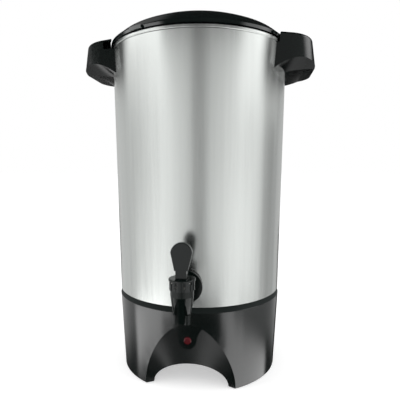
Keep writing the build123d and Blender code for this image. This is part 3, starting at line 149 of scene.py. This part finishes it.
class Shader(NodeTree):
    """The node tree of a material or a world."""

    def __init__(self, owner):
        owner.use_nodes = True
        super().__init__(owner.node_tree)
        self.tree.nodes.clear()

    def place(self, stretch=(1.0, 1.0, 1.0)):
        """Object coordinates, stretched along each axis."""
        spot = self.node("ShaderNodeTexCoord", out="Object")
        return self.node("ShaderNodeMapping", inputs={"Vector": spot, "Scale": stretch})

    def split(self, vector):
        """The three parts of a vector."""
        node = self.tree.nodes.new("ShaderNodeSeparateXYZ")
        connect(self.tree, node.inputs[0], vector)
        return [Value(self.tree, part) for part in node.outputs]

    def noise(self, stretch, scale, detail=2.0, roughness=0.5):
        """A noise from 0 to 1 over object coordinates."""
        return self.node(
            "ShaderNodeTexNoise",
            inputs={
                "Vector": self.place(stretch), "Scale": scale, "Detail": detail, "Roughness": roughness,
            },
        )

    def mottle(self):
        """A noise in soft patches."""
        return self.noise((1, 1, 1), MOTTLE_SCALE, 3.0)

    def uneven(self, roughness):
        """A roughness that varies a little from patch to patch."""
        return roughness * (0.92 + 0.16 * self.mottle())

    def bump(self, height, distance):
        """A normal bent by a height in units of the distance, at full strength."""
        return self.node(
            "ShaderNodeBump", inputs={"Height": height, "Distance": distance, "Strength": 1.0},
        )

    def ray(self, kind):
        """Whether a ray is of a kind."""
        return self.node("ShaderNodeLightPath", out=kind)

    def output(self, surface, kind="Material"):
        """The end of the tree."""
        self.node("ShaderNodeOutput" + kind, inputs={"Surface": surface})

    def finish(self, inputs):
        """A principled surface as the material's output."""
        self.output(self.node("ShaderNodeBsdfPrincipled", inputs=inputs))


# ------------------------------------------------------------------ materials
MOTTLE_SCALE = 60.0    # of the soft patches in a surface's gloss
GRAIN_SCALE = 900.0    # of the fine grain of moulded plastic
LIP_SHADE_BLEND = 0.0004     # half the height over which the base turns to the lip's painted shade, in metres
BROAD_SHARE = 0.12     # scale of the broad streaks as a share of the fine lines'


def plain(name, color, roughness, metallic=0.0, grain=0.0, grain_scale=GRAIN_SCALE, specular=0.5):
    """A material of one colour, with a fine grain in its surface."""
    material = bpy.data.materials.new(name)
    shader = Shader(material)
    inputs = {
        "Base Color": (*color, 1.0),
        "Metallic": metallic,
        "Roughness": shader.uneven(roughness),
        "Specular IOR Level": specular,
    }
    if grain:
        inputs["Normal"] = shader.bump(shader.noise((1, 1, 1), grain_scale, 2.0), grain)
    shader.finish(inputs)
    return material


def shaded_lip_plastic(name, color, roughness, lip_height, lip_shade_color):
    """Moulded plastic whose lip above a height is made matt and low in gloss: painted shade for the
    darker reflection and the shadow under the steel's edge.
    """
    material = bpy.data.materials.new(name)
    shader = Shader(material)
    grain = shader.bump(shader.noise((1, 1, 1), GRAIN_SCALE, 2.0), 0.00001)
    side = shader.node("ShaderNodeBsdfPrincipled", inputs={
        "Base Color": (*color, 1.0),
        "Roughness": shader.uneven(roughness),
        "Specular IOR Level": 1.0,
        "Normal": grain,
    })
    # painted shade: the lip reflects little, so the band below the steel shows dark
    lip = shader.node("ShaderNodeBsdfPrincipled", inputs={
        "Base Color": (*lip_shade_color, 1.0),
        "Roughness": 0.45 + 0.1 * shader.mottle(),
        "Specular IOR Level": 0.2,
        "Normal": grain,
    })
    _, _, height = shader.split(shader.place())
    lip_shade_mask = height.step(lip_height - LIP_SHADE_BLEND, lip_height + LIP_SHADE_BLEND)
    shader.output(shader.node("ShaderNodeMixShader", inputs={0: lip_shade_mask, 1: side, 2: lip}))
    return material


def brushed(name, color, roughness, stretch, scale, depth, streak):
    """Metal with fine lines in it, stretched along one axis."""
    material = bpy.data.materials.new(name)
    shader = Shader(material)
    lines = shader.noise(stretch, scale, 3.0, 0.6)
    broad = shader.noise(stretch, scale * BROAD_SHARE, 2.0)
    tone = 1.0 - streak * 0.3 + streak * 0.2 * lines + streak * 0.4 * broad
    shader.finish({
        "Base Color": shader.node(
            "ShaderNodeCombineColor",
            inputs={"Red": tone * color[0], "Green": tone * color[1], "Blue": tone * color[2]},
        ),
        "Metallic": 1.0,
        "Roughness": roughness * (1.0 - streak + streak * lines + streak * broad),
        "Normal": shader.bump(lines, depth),
    })
    return material


def spun(name, color, roughness, pitch, depth):
    """Metal turned on a lathe about the urn's axis, with rings in its flat faces."""
    material = bpy.data.materials.new(name)
    shader = Shader(material)
    x, y, _ = shader.split(shader.place())
    radius = (x * x + y * y).power(0.5)
    rings = (radius * (2 * math.pi / pitch)).sine() * 0.5 + 0.5
    mottle = shader.noise((1, 1, 0.1), 260.0, 3.0)
    shader.finish({
        "Base Color": (*color, 1.0),
        "Metallic": 1.0,
        "Roughness": roughness * (0.8 + 0.4 * mottle),
        "Normal": shader.bump(rings * 0.6 + mottle, depth),
    })
    return material


def lens_material(name, color):
    """Clear red plastic with a dark depth."""
    material = bpy.data.materials.new(name)
    shader = Shader(material)
    mottle = shader.noise((1, 1, 1), 400.0)
    shader.finish({
        "Base Color": (*color, 1.0),
        "Roughness": 0.12 + 0.1 * mottle,
        "Transmission Weight": 0.35,
        "IOR": 1.5,
    })
    return material


def paint(material, *nodes):
    """Give CAD nodes or new pieces one material."""
    for item in nodes:
        obj = NODES[item] if isinstance(item, str) else item
        obj.data.materials.clear()
        obj.data.materials.append(material)


def look():
    """The add-on's settings."""
    return bpy.context.scene.coffee_urn


def put(name, data):
    """A new object in the scene."""
    obj = bpy.data.objects.new(name, data)
    bpy.context.scene.collection.objects.link(obj)
    return obj


# ------------------------------------------------------------------ settings
def tint(name, description, default):
    """A colour property."""
    return FloatVectorProperty(
        name=name, description=description, default=default, size=3, min=0.0, max=1.0, subtype="COLOR",
    )


def share(name, description, default, top=1.0):
    """A factor property."""
    return FloatProperty(
        name=name, description=description, default=default, min=0.0, max=top, subtype="FACTOR",
    )


def length(name, description, default):
    """A length property in metres."""
    return FloatProperty(
        name=name, description=description, default=default, min=0.0, unit="LENGTH",
    )


class UrnSettings(bpy.types.PropertyGroup):
    """Colours and sizes of the urn's looks."""

    steel_color: tint("Steel", "Colour of the tank", (0.725, 0.75, 0.73))
    steel_roughness: share("Steel roughness", "How much the tank blurs what it mirrors", 0.225)
    plastic_color: tint(
        "Plastic", "Colour of the base and the handles", (0.0025, 0.0052, 0.0045),
    )
    plastic_roughness: share("Plastic roughness", "Roughness of the base and handles", 0.17)
    # the lip's colour belongs to painted shade: the lip is made matt and low in gloss so that it shows
    # dark
    lip_shade_color: tint("Lip", "Colour of the matt lip round the top of the base", (0.008, 0.012, 0.011))
    lip_height: length("Lip height", "Height of the lip's lower edge above the table", 0.0855)
    gloss_color: tint("Gloss plastic", "Colour of the lid and its knob", (0.0015, 0.0042, 0.0036))
    gloss_roughness: share("Gloss roughness", "Roughness of the lid", 0.10)
    tap_color: tint("Tap", "Colour of the tap", (0.004, 0.0068, 0.0062))
    tap_roughness: share("Tap roughness", "Roughness of the tap", 0.2)
    lens_color: tint("Lens", "Colour of the indicator lens", (0.12, 0.003, 0.008))
    aluminium_color: tint("Aluminium", "Colour of the pump and the basket", (0.80, 0.80, 0.81))
    camera_azimuth: FloatProperty(
        name="Camera azimuth", description="Turn of the camera round the urn, from the front towards +X",
        default=math.radians(7.5), subtype="ANGLE",
    )
    camera_tilt: FloatProperty(
        name="Camera tilt", description="How far the camera looks down",
        default=math.radians(4.09), subtype="ANGLE",
    )
    camera_distance: length("Camera distance", "From the urn's axis to the camera", 0.4871)
    camera_height: length("Camera height", "Height of the camera above the table", 0.2271)
    camera_lens: FloatProperty(
        name="Lens", description="Focal length on a 36 mm sensor", default=36.26, min=1.0, unit="CAMERA",
    )
    daylight: share("Daylight", "Strength of the even light on the urn", 0.75, 4.0)


# ------------------------------------------------------------------ screws
class Recipe(NodeTree):
    """A Geometry Nodes tree with named sizes."""

    def __init__(self, name, sizes):
        super().__init__(bpy.data.node_groups.new(name, "GeometryNodeTree"))
        face = self.tree.interface
        face.new_socket("Geometry", in_out="INPUT", socket_type="NodeSocketGeometry")
        for label in sizes:
            face.new_socket(label, in_out="INPUT", socket_type="NodeSocketFloat").subtype = "DISTANCE"
        face.new_socket("Geometry", in_out="OUTPUT", socket_type="NodeSocketGeometry")
        start = self.tree.nodes.new("NodeGroupInput")
        self.given = {socket.name: Value(self.tree, socket) for socket in start.outputs if socket.name}

    def vector(self, x, y, z):
        """A vector of three numbers or values."""
        return self.node("ShaderNodeCombineXYZ", inputs={"X": x, "Y": y, "Z": z})

    def moved(self, form, x, y, z):
        """A form moved along the axes."""
        return self.node(
            "GeometryNodeTransform", inputs={"Geometry": form, "Translation": self.vector(x, y, z)},
        )


SCREW_SIZES = ("Head radius", "Head height", "Shank radius", "Shank length")
HEAD_TAPER = 0.72      # a head's radius at its top, as a share of its radius
CROSS_WIDTH = 0.3      # of a bar of the cross, as a share of the head's radius
CROSS_REACH = 1.15     # a bar's length, as a share of the head's radius
CROSS_LIFT = 1.05      # how far a bar is raised, as a share of the head's height
HEAD_EDGE = 0.98       # corners beyond this share of the radius belong to the head's edge
SEAT_MARGIN = 1e-5     # how far below the head a corner of the shank lies at least, in metres
WELD = 1e-6            # corners closer than this are one, in metres


def screw_recipe(material):
    """Screws with a cross in their heads, one at each point, along its outward direction."""
    recipe = Recipe("screws", SCREW_SIZES)
    radius, height, shank, length_below = (recipe.given[name] for name in SCREW_SIZES)
    head = recipe.node("GeometryNodeMeshCone", inputs={
        "Vertices": 40, "Radius Top": radius * HEAD_TAPER, "Radius Bottom": radius,
        "Depth": height})
    bars = []
    for wide, long in ((CROSS_WIDTH, CROSS_REACH), (CROSS_REACH, CROSS_WIDTH)):
        bar = recipe.node("GeometryNodeMeshCube", inputs={
            "Size": recipe.vector(radius * wide, radius * long, height)})
        bars.append(recipe.moved(bar, 0.0, 0.0, height * CROSS_LIFT))
    head = recipe.node(
        "GeometryNodeMeshBoolean", {"operation": "DIFFERENCE"}, {"Mesh 1": head, "Mesh 2": bars},
    )
    rod = recipe.node(
        "GeometryNodeMeshCylinder", inputs={"Vertices": 32, "Radius": shank, "Depth": length_below},
    )
    rod = recipe.moved(rod, 0.0, 0.0, length_below * -0.5)
    screw = recipe.node("GeometryNodeJoinGeometry", inputs={"Geometry": [head, rod]})
    outward = recipe.node(
        "GeometryNodeInputNamedAttribute", {"data_type": "FLOAT_VECTOR"}, {"Name": "outward"},
    )
    turn = recipe.node("FunctionNodeAlignRotationToVector", {"axis": "Z"}, {"Vector": outward})
    placed = recipe.node("GeometryNodeInstanceOnPoints", inputs={
        "Points": recipe.given["Geometry"], "Instance": screw, "Rotation": turn})
    solid = recipe.node("GeometryNodeRealizeInstances", inputs={"Geometry": placed})
    recipe.node("NodeGroupOutput", inputs={"Geometry": recipe.node(
        "GeometryNodeSetMaterial", inputs={"Geometry": solid, "Material": material})})
    return recipe.tree


def islands(node):
    """The corners of each separate solid in a CAD node, in an order that can differ each run."""
    form = bmesh.new()
    form.from_mesh(NODES[node].data)
    bmesh.ops.remove_doubles(form, verts=form.verts, dist=WELD)
    left = set(form.verts)
    found = []
    while left:
        group, front = [], [left.pop()]
        while front:
            corner = front.pop()
            group.append(corner.co.copy())
            for edge in corner.link_edges:
                other = edge.other_vert(corner)
                if other in left:
                    left.remove(other)
                    front.append(other)
        found.append(group)
    form.free()
    return found


def screws(node, aim, material):
    """Finer screws in place of a CAD node of screws.

    aim gives a screw's direction from its middle, and the node's last screw gives all their sizes.
    """
    seats, aims = [], []
    for corners in islands(node):
        middle = sum(corners, Vector()) / len(corners)
        axis = aim(middle).normalized()
        along = [(corner - middle).dot(axis) for corner in corners]
        off = [((corner - middle) - axis * step).length for corner, step in zip(corners, along)]
        radius = max(off)
        under = min(step for step, reach in zip(along, off) if reach > HEAD_EDGE * radius)
        shank = max(reach for step, reach in zip(along, off) if step < under - SEAT_MARGIN)
        seats.append(middle + axis * under)
        aims.append(axis)
        sizes = (radius, max(along) - under, shank, under - min(along))
    mesh = bpy.data.meshes.new(node + "_seats")
    mesh.from_pydata(seats, [], [])
    outward = mesh.attributes.new("outward", "FLOAT_VECTOR", "POINT")
    for spot, axis in zip(outward.data, aims):
        spot.vector = axis
    holder = put(node + "_seats", mesh)
    modifier = holder.modifiers.new("screws", "NODES")
    modifier.node_group = screw_recipe(material)
    given = dict(zip(SCREW_SIZES, sizes))
    for item in modifier.node_group.interface.items_tree:
        if item.name in given:
            modifier[item.identifier] = given[item.name]
    evaluated = holder.evaluated_get(bpy.context.evaluated_depsgraph_get())
    grown = bpy.data.meshes.new_from_object(evaluated)
    bpy.data.objects.remove(holder)
    obj = put(node + "_crossed", grown)
    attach(obj, BODY_OF[node])
    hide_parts(node)


# ------------------------------------------------------------------ stage
SOFTBOXES = {"left_softbox": (-1.3, -0.5, 1.1), "right_softbox": (1.4, -0.4, 0.9)}
SOFTBOX_AIM = (0, 0, 0.2)
SOFTBOX_SIZE = (0.9, 1.2)
SOFTBOX_POWER = 9.0    # watts
DOME_RADIUS = 40.0
FLOOR_REACH = 30.0
FLOOR_SHADE = 0.82     # how much light the floor gives back
FLOOR_GLOW = 0.46      # light that the floor adds for the camera alone
SENSOR_WIDTH = 36.0    # millimetres
CAMERA_TURN = 0.07     # degrees that the camera looks past the urn's axis


def ghost(obj):
    """A stage object that only mirrors see."""
    obj.visible_camera = False
    obj.visible_diffuse = False
    obj.visible_shadow = False
    obj.visible_transmission = True
    obj.visible_glossy = True


def softbox(name, spot):
    """A soft rectangular lamp."""
    lamp = bpy.data.lights.new(name, "AREA")
    lamp.shape = "RECTANGLE"
    lamp.size, lamp.size_y = SOFTBOX_SIZE
    lamp.energy = SOFTBOX_POWER
    obj = put(name, lamp)
    obj.location = spot
    obj.rotation_mode = "QUATERNION"
    obj.rotation_quaternion = (Vector(SOFTBOX_AIM) - Vector(spot)).to_track_quat("-Z", "Y")
    obj.visible_glossy = False


# Panels of light that the urn mirrors.  Each has its left and right edges by angle from the
# camera, its lower and upper edges by angle above the horizon, the softness of its sides and of
# its lower and upper edges, and its brightness.  Dark panels take light away.
PANELS = (
    # walls at the tank's height, as seen in the steel
    (-190, -9.5, -21, 17, 4, 1.5, 0.22),
    (-9, 3, -21, 17, 5, 1.5, -0.07),
    (-84, -11, -21, 17, 20, 1.5, 0.17),
    (-62, -33, -21, 17, 12, 1.5, 0.20),
    (10, 93, -21, 17, 9, 1.5, 0.32),
    (30, 93, -21, 17, 10, 1.5, 0.13),
    (40, 82, -21, 17, 8, 1.5, 0.07),
    (130, 190, -21, 17, 8, 1.5, 0.15),
    # lighter upper and lower ends of the walls
    (49, 85, 8, 16.5, 8, 3, 0.32),
    (84, 125, 6, 10.5, 6, 1.5, 0.25),
    (-108, -42, 8, 13.5, 8, 2, 0.17),
    (-86, -42, 12.5, 16.5, 8, 2, 0.16),
    (-110, -86, 13, 16, 4, 1.5, 0.3),
    (-100, -50, -21, -6, 10, 5, 0.12),
    (8, 75, -21, -4, 8, 5, 0.12),
    # dark corners behind the handles
    (88.5, 150, 11.6, 18, 2.5, 0.8, -1.3),
    (-145, -112, 11.8, 18, 3, 0.8, -0.9),
    # table top, as seen in the base
    (-105, -55, -29.5, -21.5, 4, 1.2, 2.3),
    (-55, -38, -25.8, -21.5, 4, 1.0, 2.2),
    (-140, -105, -27, -21, 5, 1.2, 0.15),
    (31, 50, -28, -24, 3, 1.2, 1.7),
    (39, 50, -45, -28, 3, 1.2, 1.8),
    (50, 66, -45, -26.2, 3, 0.8, 1.9),
    (66, 118, -45, -27.2, 4, 0.8, 2.0),
    (-28, 24, -40, -21, 8, 1.5, -0.3),
    # table close to the base, as seen in its recess
    (-9, 3, -75, -60, 4, 3, 0.65),
    (-55, -39, -75, -60, 5, 3, 0.58),
    (-90, 90, -90, -58, 10, 3, 0.06),
    # bright strips just above the tank, as seen in the lid's flange
    (-106, -48, 16.7, 20.5, 6, 1.0, 1.95),
    (56, 98, 16.7, 21, 8, 1.0, 1.3),
    (80, 98, 16.5, 21, 6, 1.2, 0.4),
    (76, 120, 21, 44, 16, 1.5, 1.6),
    (-150, -108, 17, 24, 4, 2.0, 0.15),
    # ceiling, as seen in the handles and the dome
    (-130, 62, 20, 64, 8, 2.0, 0.03),
    (0, 62, 22, 64, 6, 2.0, 0.1),
    (-166, -140, 28, 50, 5, 4.0, 0.14),
    # low behind the urn, as seen in the handles' undersides
    (148, 168, -45, -27, 4, 3.0, 0.22),
    (151, 171, -25, -8, 3, 2.0, -0.6),
    (-168, -150, -45, -27, 4, 3.0, 0.17),
    (-174, -156, -15, -5, 3, 2.0, -0.8),
)
ROOM_WALL = 0.40
ROOM_TABLE = 0.03
ROOM_CEILING = 0.02


def window(value, low, high, soft):
    """A window from low to high with soft edges."""
    return value.step(low - soft, low + soft) * value.step(high - soft, high + soft, 1.0, 0.0)


def studio_light(turn, rise):
    """Brightness of the studio in a direction."""
    level = ROOM_TABLE + (ROOM_WALL - ROOM_TABLE) * rise.step(-27.0, -22.5)
    level = level * rise.step(15.5, 18.5, 1.0, ROOM_CEILING / ROOM_WALL)
    for left, right, low, high, side, rim, bright in PANELS:
        level = level + bright * window(turn, left, right, side) * window(rise, low, high, rim)
    return level.maximum(0.0)


def studio_walls(urn):
    """A large dome that only the glossy surfaces mirror."""
    mesh = bpy.data.meshes.new("studio_walls")
    form = bmesh.new()
    bmesh.ops.create_uvsphere(form, u_segments=64, v_segments=32, radius=DOME_RADIUS)
    form.to_mesh(mesh)
    form.free()
    dome = put("studio_walls", mesh)
    material = bpy.data.materials.new("studio_walls")
    shader = Shader(material)
    x, y, z = shader.split(shader.place())
    turn = x.angle(y * -1.0) * (180 / math.pi) - math.degrees(urn.camera_azimuth)
    rise = z.angle((x * x + y * y).power(0.5)) * (180 / math.pi)
    shader.output(shader.node("ShaderNodeEmission", inputs={
        "Color": (1, 1, 1, 1), "Strength": studio_light(turn, rise)}))
    mesh.materials.append(material)
    ghost(dome)


def backdrop(urn):
    """A white world for the camera and mirrors, and an even light for the rest."""
    world = bpy.data.worlds.new("studio")
    bpy.context.scene.world = world
    shader = Shader(world)
    white = shader.ray("Is Camera Ray").maximum(shader.ray("Is Glossy Ray"))
    white = white.maximum(shader.ray("Is Transmission Ray"))
    strength = white + (1.0 - white) * urn.daylight
    shader.output(shader.node("ShaderNodeBackground", inputs={
        "Color": (1, 1, 1, 1), "Strength": strength}), "World")


def floor():
    """A pale table top that keeps the urn's shadow."""
    mesh = bpy.data.meshes.new("floor")
    corners = [(x * FLOOR_REACH, y * FLOOR_REACH, 0) for x, y in ((-1, -1), (1, -1), (1, 1), (-1, 1))]
    mesh.from_pydata(corners, [], [(0, 1, 2, 3)])
    plate = put("floor", mesh)
    material = bpy.data.materials.new("floor")
    shader = Shader(material)
    cloth = shader.node("ShaderNodeBsdfDiffuse", inputs={
        "Color": (FLOOR_SHADE, FLOOR_SHADE, FLOOR_SHADE, 1)})
    glow = shader.node("ShaderNodeEmission", inputs={
        "Color": (1, 1, 1, 1), "Strength": shader.ray("Is Camera Ray") * FLOOR_GLOW})
    shader.output(shader.node("ShaderNodeAddShader", inputs={0: cloth, 1: glow}))
    mesh.materials.append(material)
    plate.visible_glossy = False


def camera(urn):
    """The camera of the main view."""
    data = bpy.data.cameras.new("camera")
    data.sensor_width = SENSOR_WIDTH
    data.lens = urn.camera_lens
    data.clip_start = 0.01
    obj = put("camera", data)
    turn, tilt = urn.camera_azimuth, urn.camera_tilt
    reach = urn.camera_distance
    obj.location = (reach * math.sin(turn), -reach * math.cos(turn), urn.camera_height)
    ahead = turn - math.radians(CAMERA_TURN)
    aim = Vector((-math.sin(ahead) * math.cos(tilt), math.cos(ahead) * math.cos(tilt), -math.sin(tilt)))
    obj.rotation_mode = "QUATERNION"
    obj.rotation_quaternion = aim.to_track_quat("-Z", "Y")
    bpy.context.scene.camera = obj


class URN_OT_stage(bpy.types.Operator):
    """Build the floor, the studio's walls, the lamps and the camera"""

    bl_idname = "urn.stage"
    bl_label = "Stage"

    def execute(self, context):
        urn = look()
        backdrop(urn)
        floor()
        studio_walls(urn)
        for name, spot in SOFTBOXES.items():
            softbox(name, spot)
        camera(urn)
        context.scene.view_settings.view_transform = "Standard"
        return {"FINISHED"}


# ------------------------------------------------------------------ pieces
class URN_OT_tank(bpy.types.Operator):
    """Finish the steel tank and its heating well"""

    bl_idname = "urn.tank"
    bl_label = "Tank"

    def execute(self, context):
        urn = look()
        steel = brushed(
            "tank_steel", urn.steel_color, urn.steel_roughness,
            stretch=(1, 1, 0.012), scale=900.0, depth=0.00003, streak=0.5,
        )
        paint(steel, "tank", "heating_well")
        return {"FINISHED"}


class URN_OT_base(bpy.types.Operator):
    """Finish the moulded base and the handles"""

    bl_idname = "urn.base"
    bl_label = "Base and handles"

    def execute(self, context):
        urn = look()
        black = plain(
            "moulded_plastic", urn.plastic_color, urn.plastic_roughness, grain=0.00002, specular=1.0,
        )
        # the base's lip gets painted shade from its matt, dim material
        skirt = shaded_lip_plastic(
            "base_plastic", urn.plastic_color, urn.plastic_roughness, urn.lip_height, urn.lip_shade_color,
        )
        paint(skirt, "base_skirt")
        paint(black, "handle_left", "handle_right", "power_inlet", "thermostat")
        return {"FINISHED"}


class URN_OT_lid(bpy.types.Operator):
    """Finish the lid and its knob"""

    bl_idname = "urn.lid"
    bl_label = "Lid"

    def execute(self, context):
        urn = look()
        gloss = plain(
            "gloss_plastic", urn.gloss_color, urn.gloss_roughness,
            grain=0.00001, grain_scale=300.0, specular=1.0,
        )
        paint(gloss, "lid", "lid_knob")
        return {"FINISHED"}


class URN_OT_tap(bpy.types.Operator):
    """Finish the tap"""

    bl_idname = "urn.tap"
    bl_label = "Tap"

    def execute(self, context):
        urn = look()
        black = plain("tap_plastic", urn.tap_color, urn.tap_roughness, grain=0.00002)
        spout = plain(
            "spout_plastic", urn.plastic_color, urn.tap_roughness, grain=0.00002, specular=0.34,
        )
        paint(black, "tap_bonnet", "tap_lever", "tap_nut", "valve_rod")
        paint(spout, "tap_body")
        return {"FINISHED"}


class URN_OT_small_parts(bpy.types.Operator):
    """Finish the seals, fixings, heaters, lamp and leads"""

    bl_idname = "urn.small_parts"
    bl_label = "Small parts"

    def execute(self, context):
        urn = look()
        rubber = plain("rubber", (0.008, 0.0095, 0.009), 0.6, grain=0.00003, specular=0.3)
        silicone = plain("silicone", (0.62, 0.60, 0.55), 0.55, grain=0.00002)
        zinc = plain("zinc", (0.62, 0.62, 0.60), 0.28, metallic=1.0, grain=0.00001)
        brass = plain("brass", (0.70, 0.52, 0.24), 0.3, metallic=1.0, grain=0.00001)
        sheet = plain(
            "sheet_steel", (0.50, 0.51, 0.52), 0.42, metallic=1.0, grain=0.00002, grain_scale=240.0,
        )
        element = plain("element", (0.26, 0.23, 0.21), 0.5, metallic=1.0, grain=0.00003)
        sleeve = plain("lead_sleeve", (0.38, 0.06, 0.05), 0.75, grain=0.00006, grain_scale=1500.0)
        glass = plain("lamp_glass", (0.85, 0.5, 0.4), 0.1)
        paint(rubber, "rubber_feet", "tap_gasket")
        paint(silicone, "well_gasket", "tap_inner_gasket", "bonnet_seal", "seat_cup")
        paint(zinc, "base_studs", "base_nuts", "clamp_screws", "handle_screws", "inlet_pins",
              "inlet_screws", "knob_screw", "lens_clip", "lever_pivot_pin", "valve_link_pin",
              "thermal_fuse")
        screws("inlet_screws", lambda middle: Vector((0, 1, 0)), zinc)
        screws("handle_screws", lambda middle: Vector((-middle.x, -middle.y, 0)), zinc)
        screws("knob_screw", lambda middle: Vector((0, 0, -1)), zinc)
        paint(brass, "well_nut")
        paint(sheet, "bottom_cover", "heater_clamp")
        paint(element, "boil_element", "keep_warm_element")
        paint(sleeve, "lead_live", "lead_heater", "lead_neutral")
        paint(glass, "indicator_lamp")
        paint(lens_material("lens", urn.lens_color), "lamp_lens")
        return {"FINISHED"}


class URN_OT_brewer(bpy.types.Operator):
    """Finish the pump, the basket and its cover"""

    bl_idname = "urn.brewer"
    bl_label = "Pump and basket"

    def execute(self, context):
        urn = look()
        metal = spun("spun_aluminium", urn.aluminium_color, roughness=0.32, pitch=0.0011, depth=0.00001)
        paint(metal, "pump_stem", "pump_foot", "pump_washer", "basket", "spreader", "heater_plate")
        return {"FINISHED"}


class URN_PT_panel(bpy.types.Panel):
    """Lists the urn's settings and steps"""

    bl_label = "Coffee Urn"
    bl_space_type = "VIEW_3D"
    bl_region_type = "UI"
    bl_category = "Coffee Urn"

    def draw(self, context):
        for name in UrnSettings.__annotations__:
            self.layout.prop(context.scene.coffee_urn, name)
        for step in STEPS:
            self.layout.operator(step.bl_idname)


STEPS = (
    URN_OT_tank, URN_OT_base, URN_OT_lid, URN_OT_tap, URN_OT_small_parts, URN_OT_brewer, URN_OT_stage,
)
CLASSES = (UrnSettings, *STEPS, URN_PT_panel)


def register():
    """Register the classes and the settings."""
    for item in CLASSES:
        bpy.utils.register_class(item)
    bpy.types.Scene.coffee_urn = PointerProperty(type=UrnSettings)


def unregister():
    """Undo register."""
    del bpy.types.Scene.coffee_urn
    for item in reversed(CLASSES):
        bpy.utils.unregister_class(item)


def main():
    """Build every piece in order."""
    register()
    for step in STEPS:
        group, name = step.bl_idname.split(".")
        getattr(getattr(bpy.ops, group), name)()


if __name__ == "__main__":
    main()
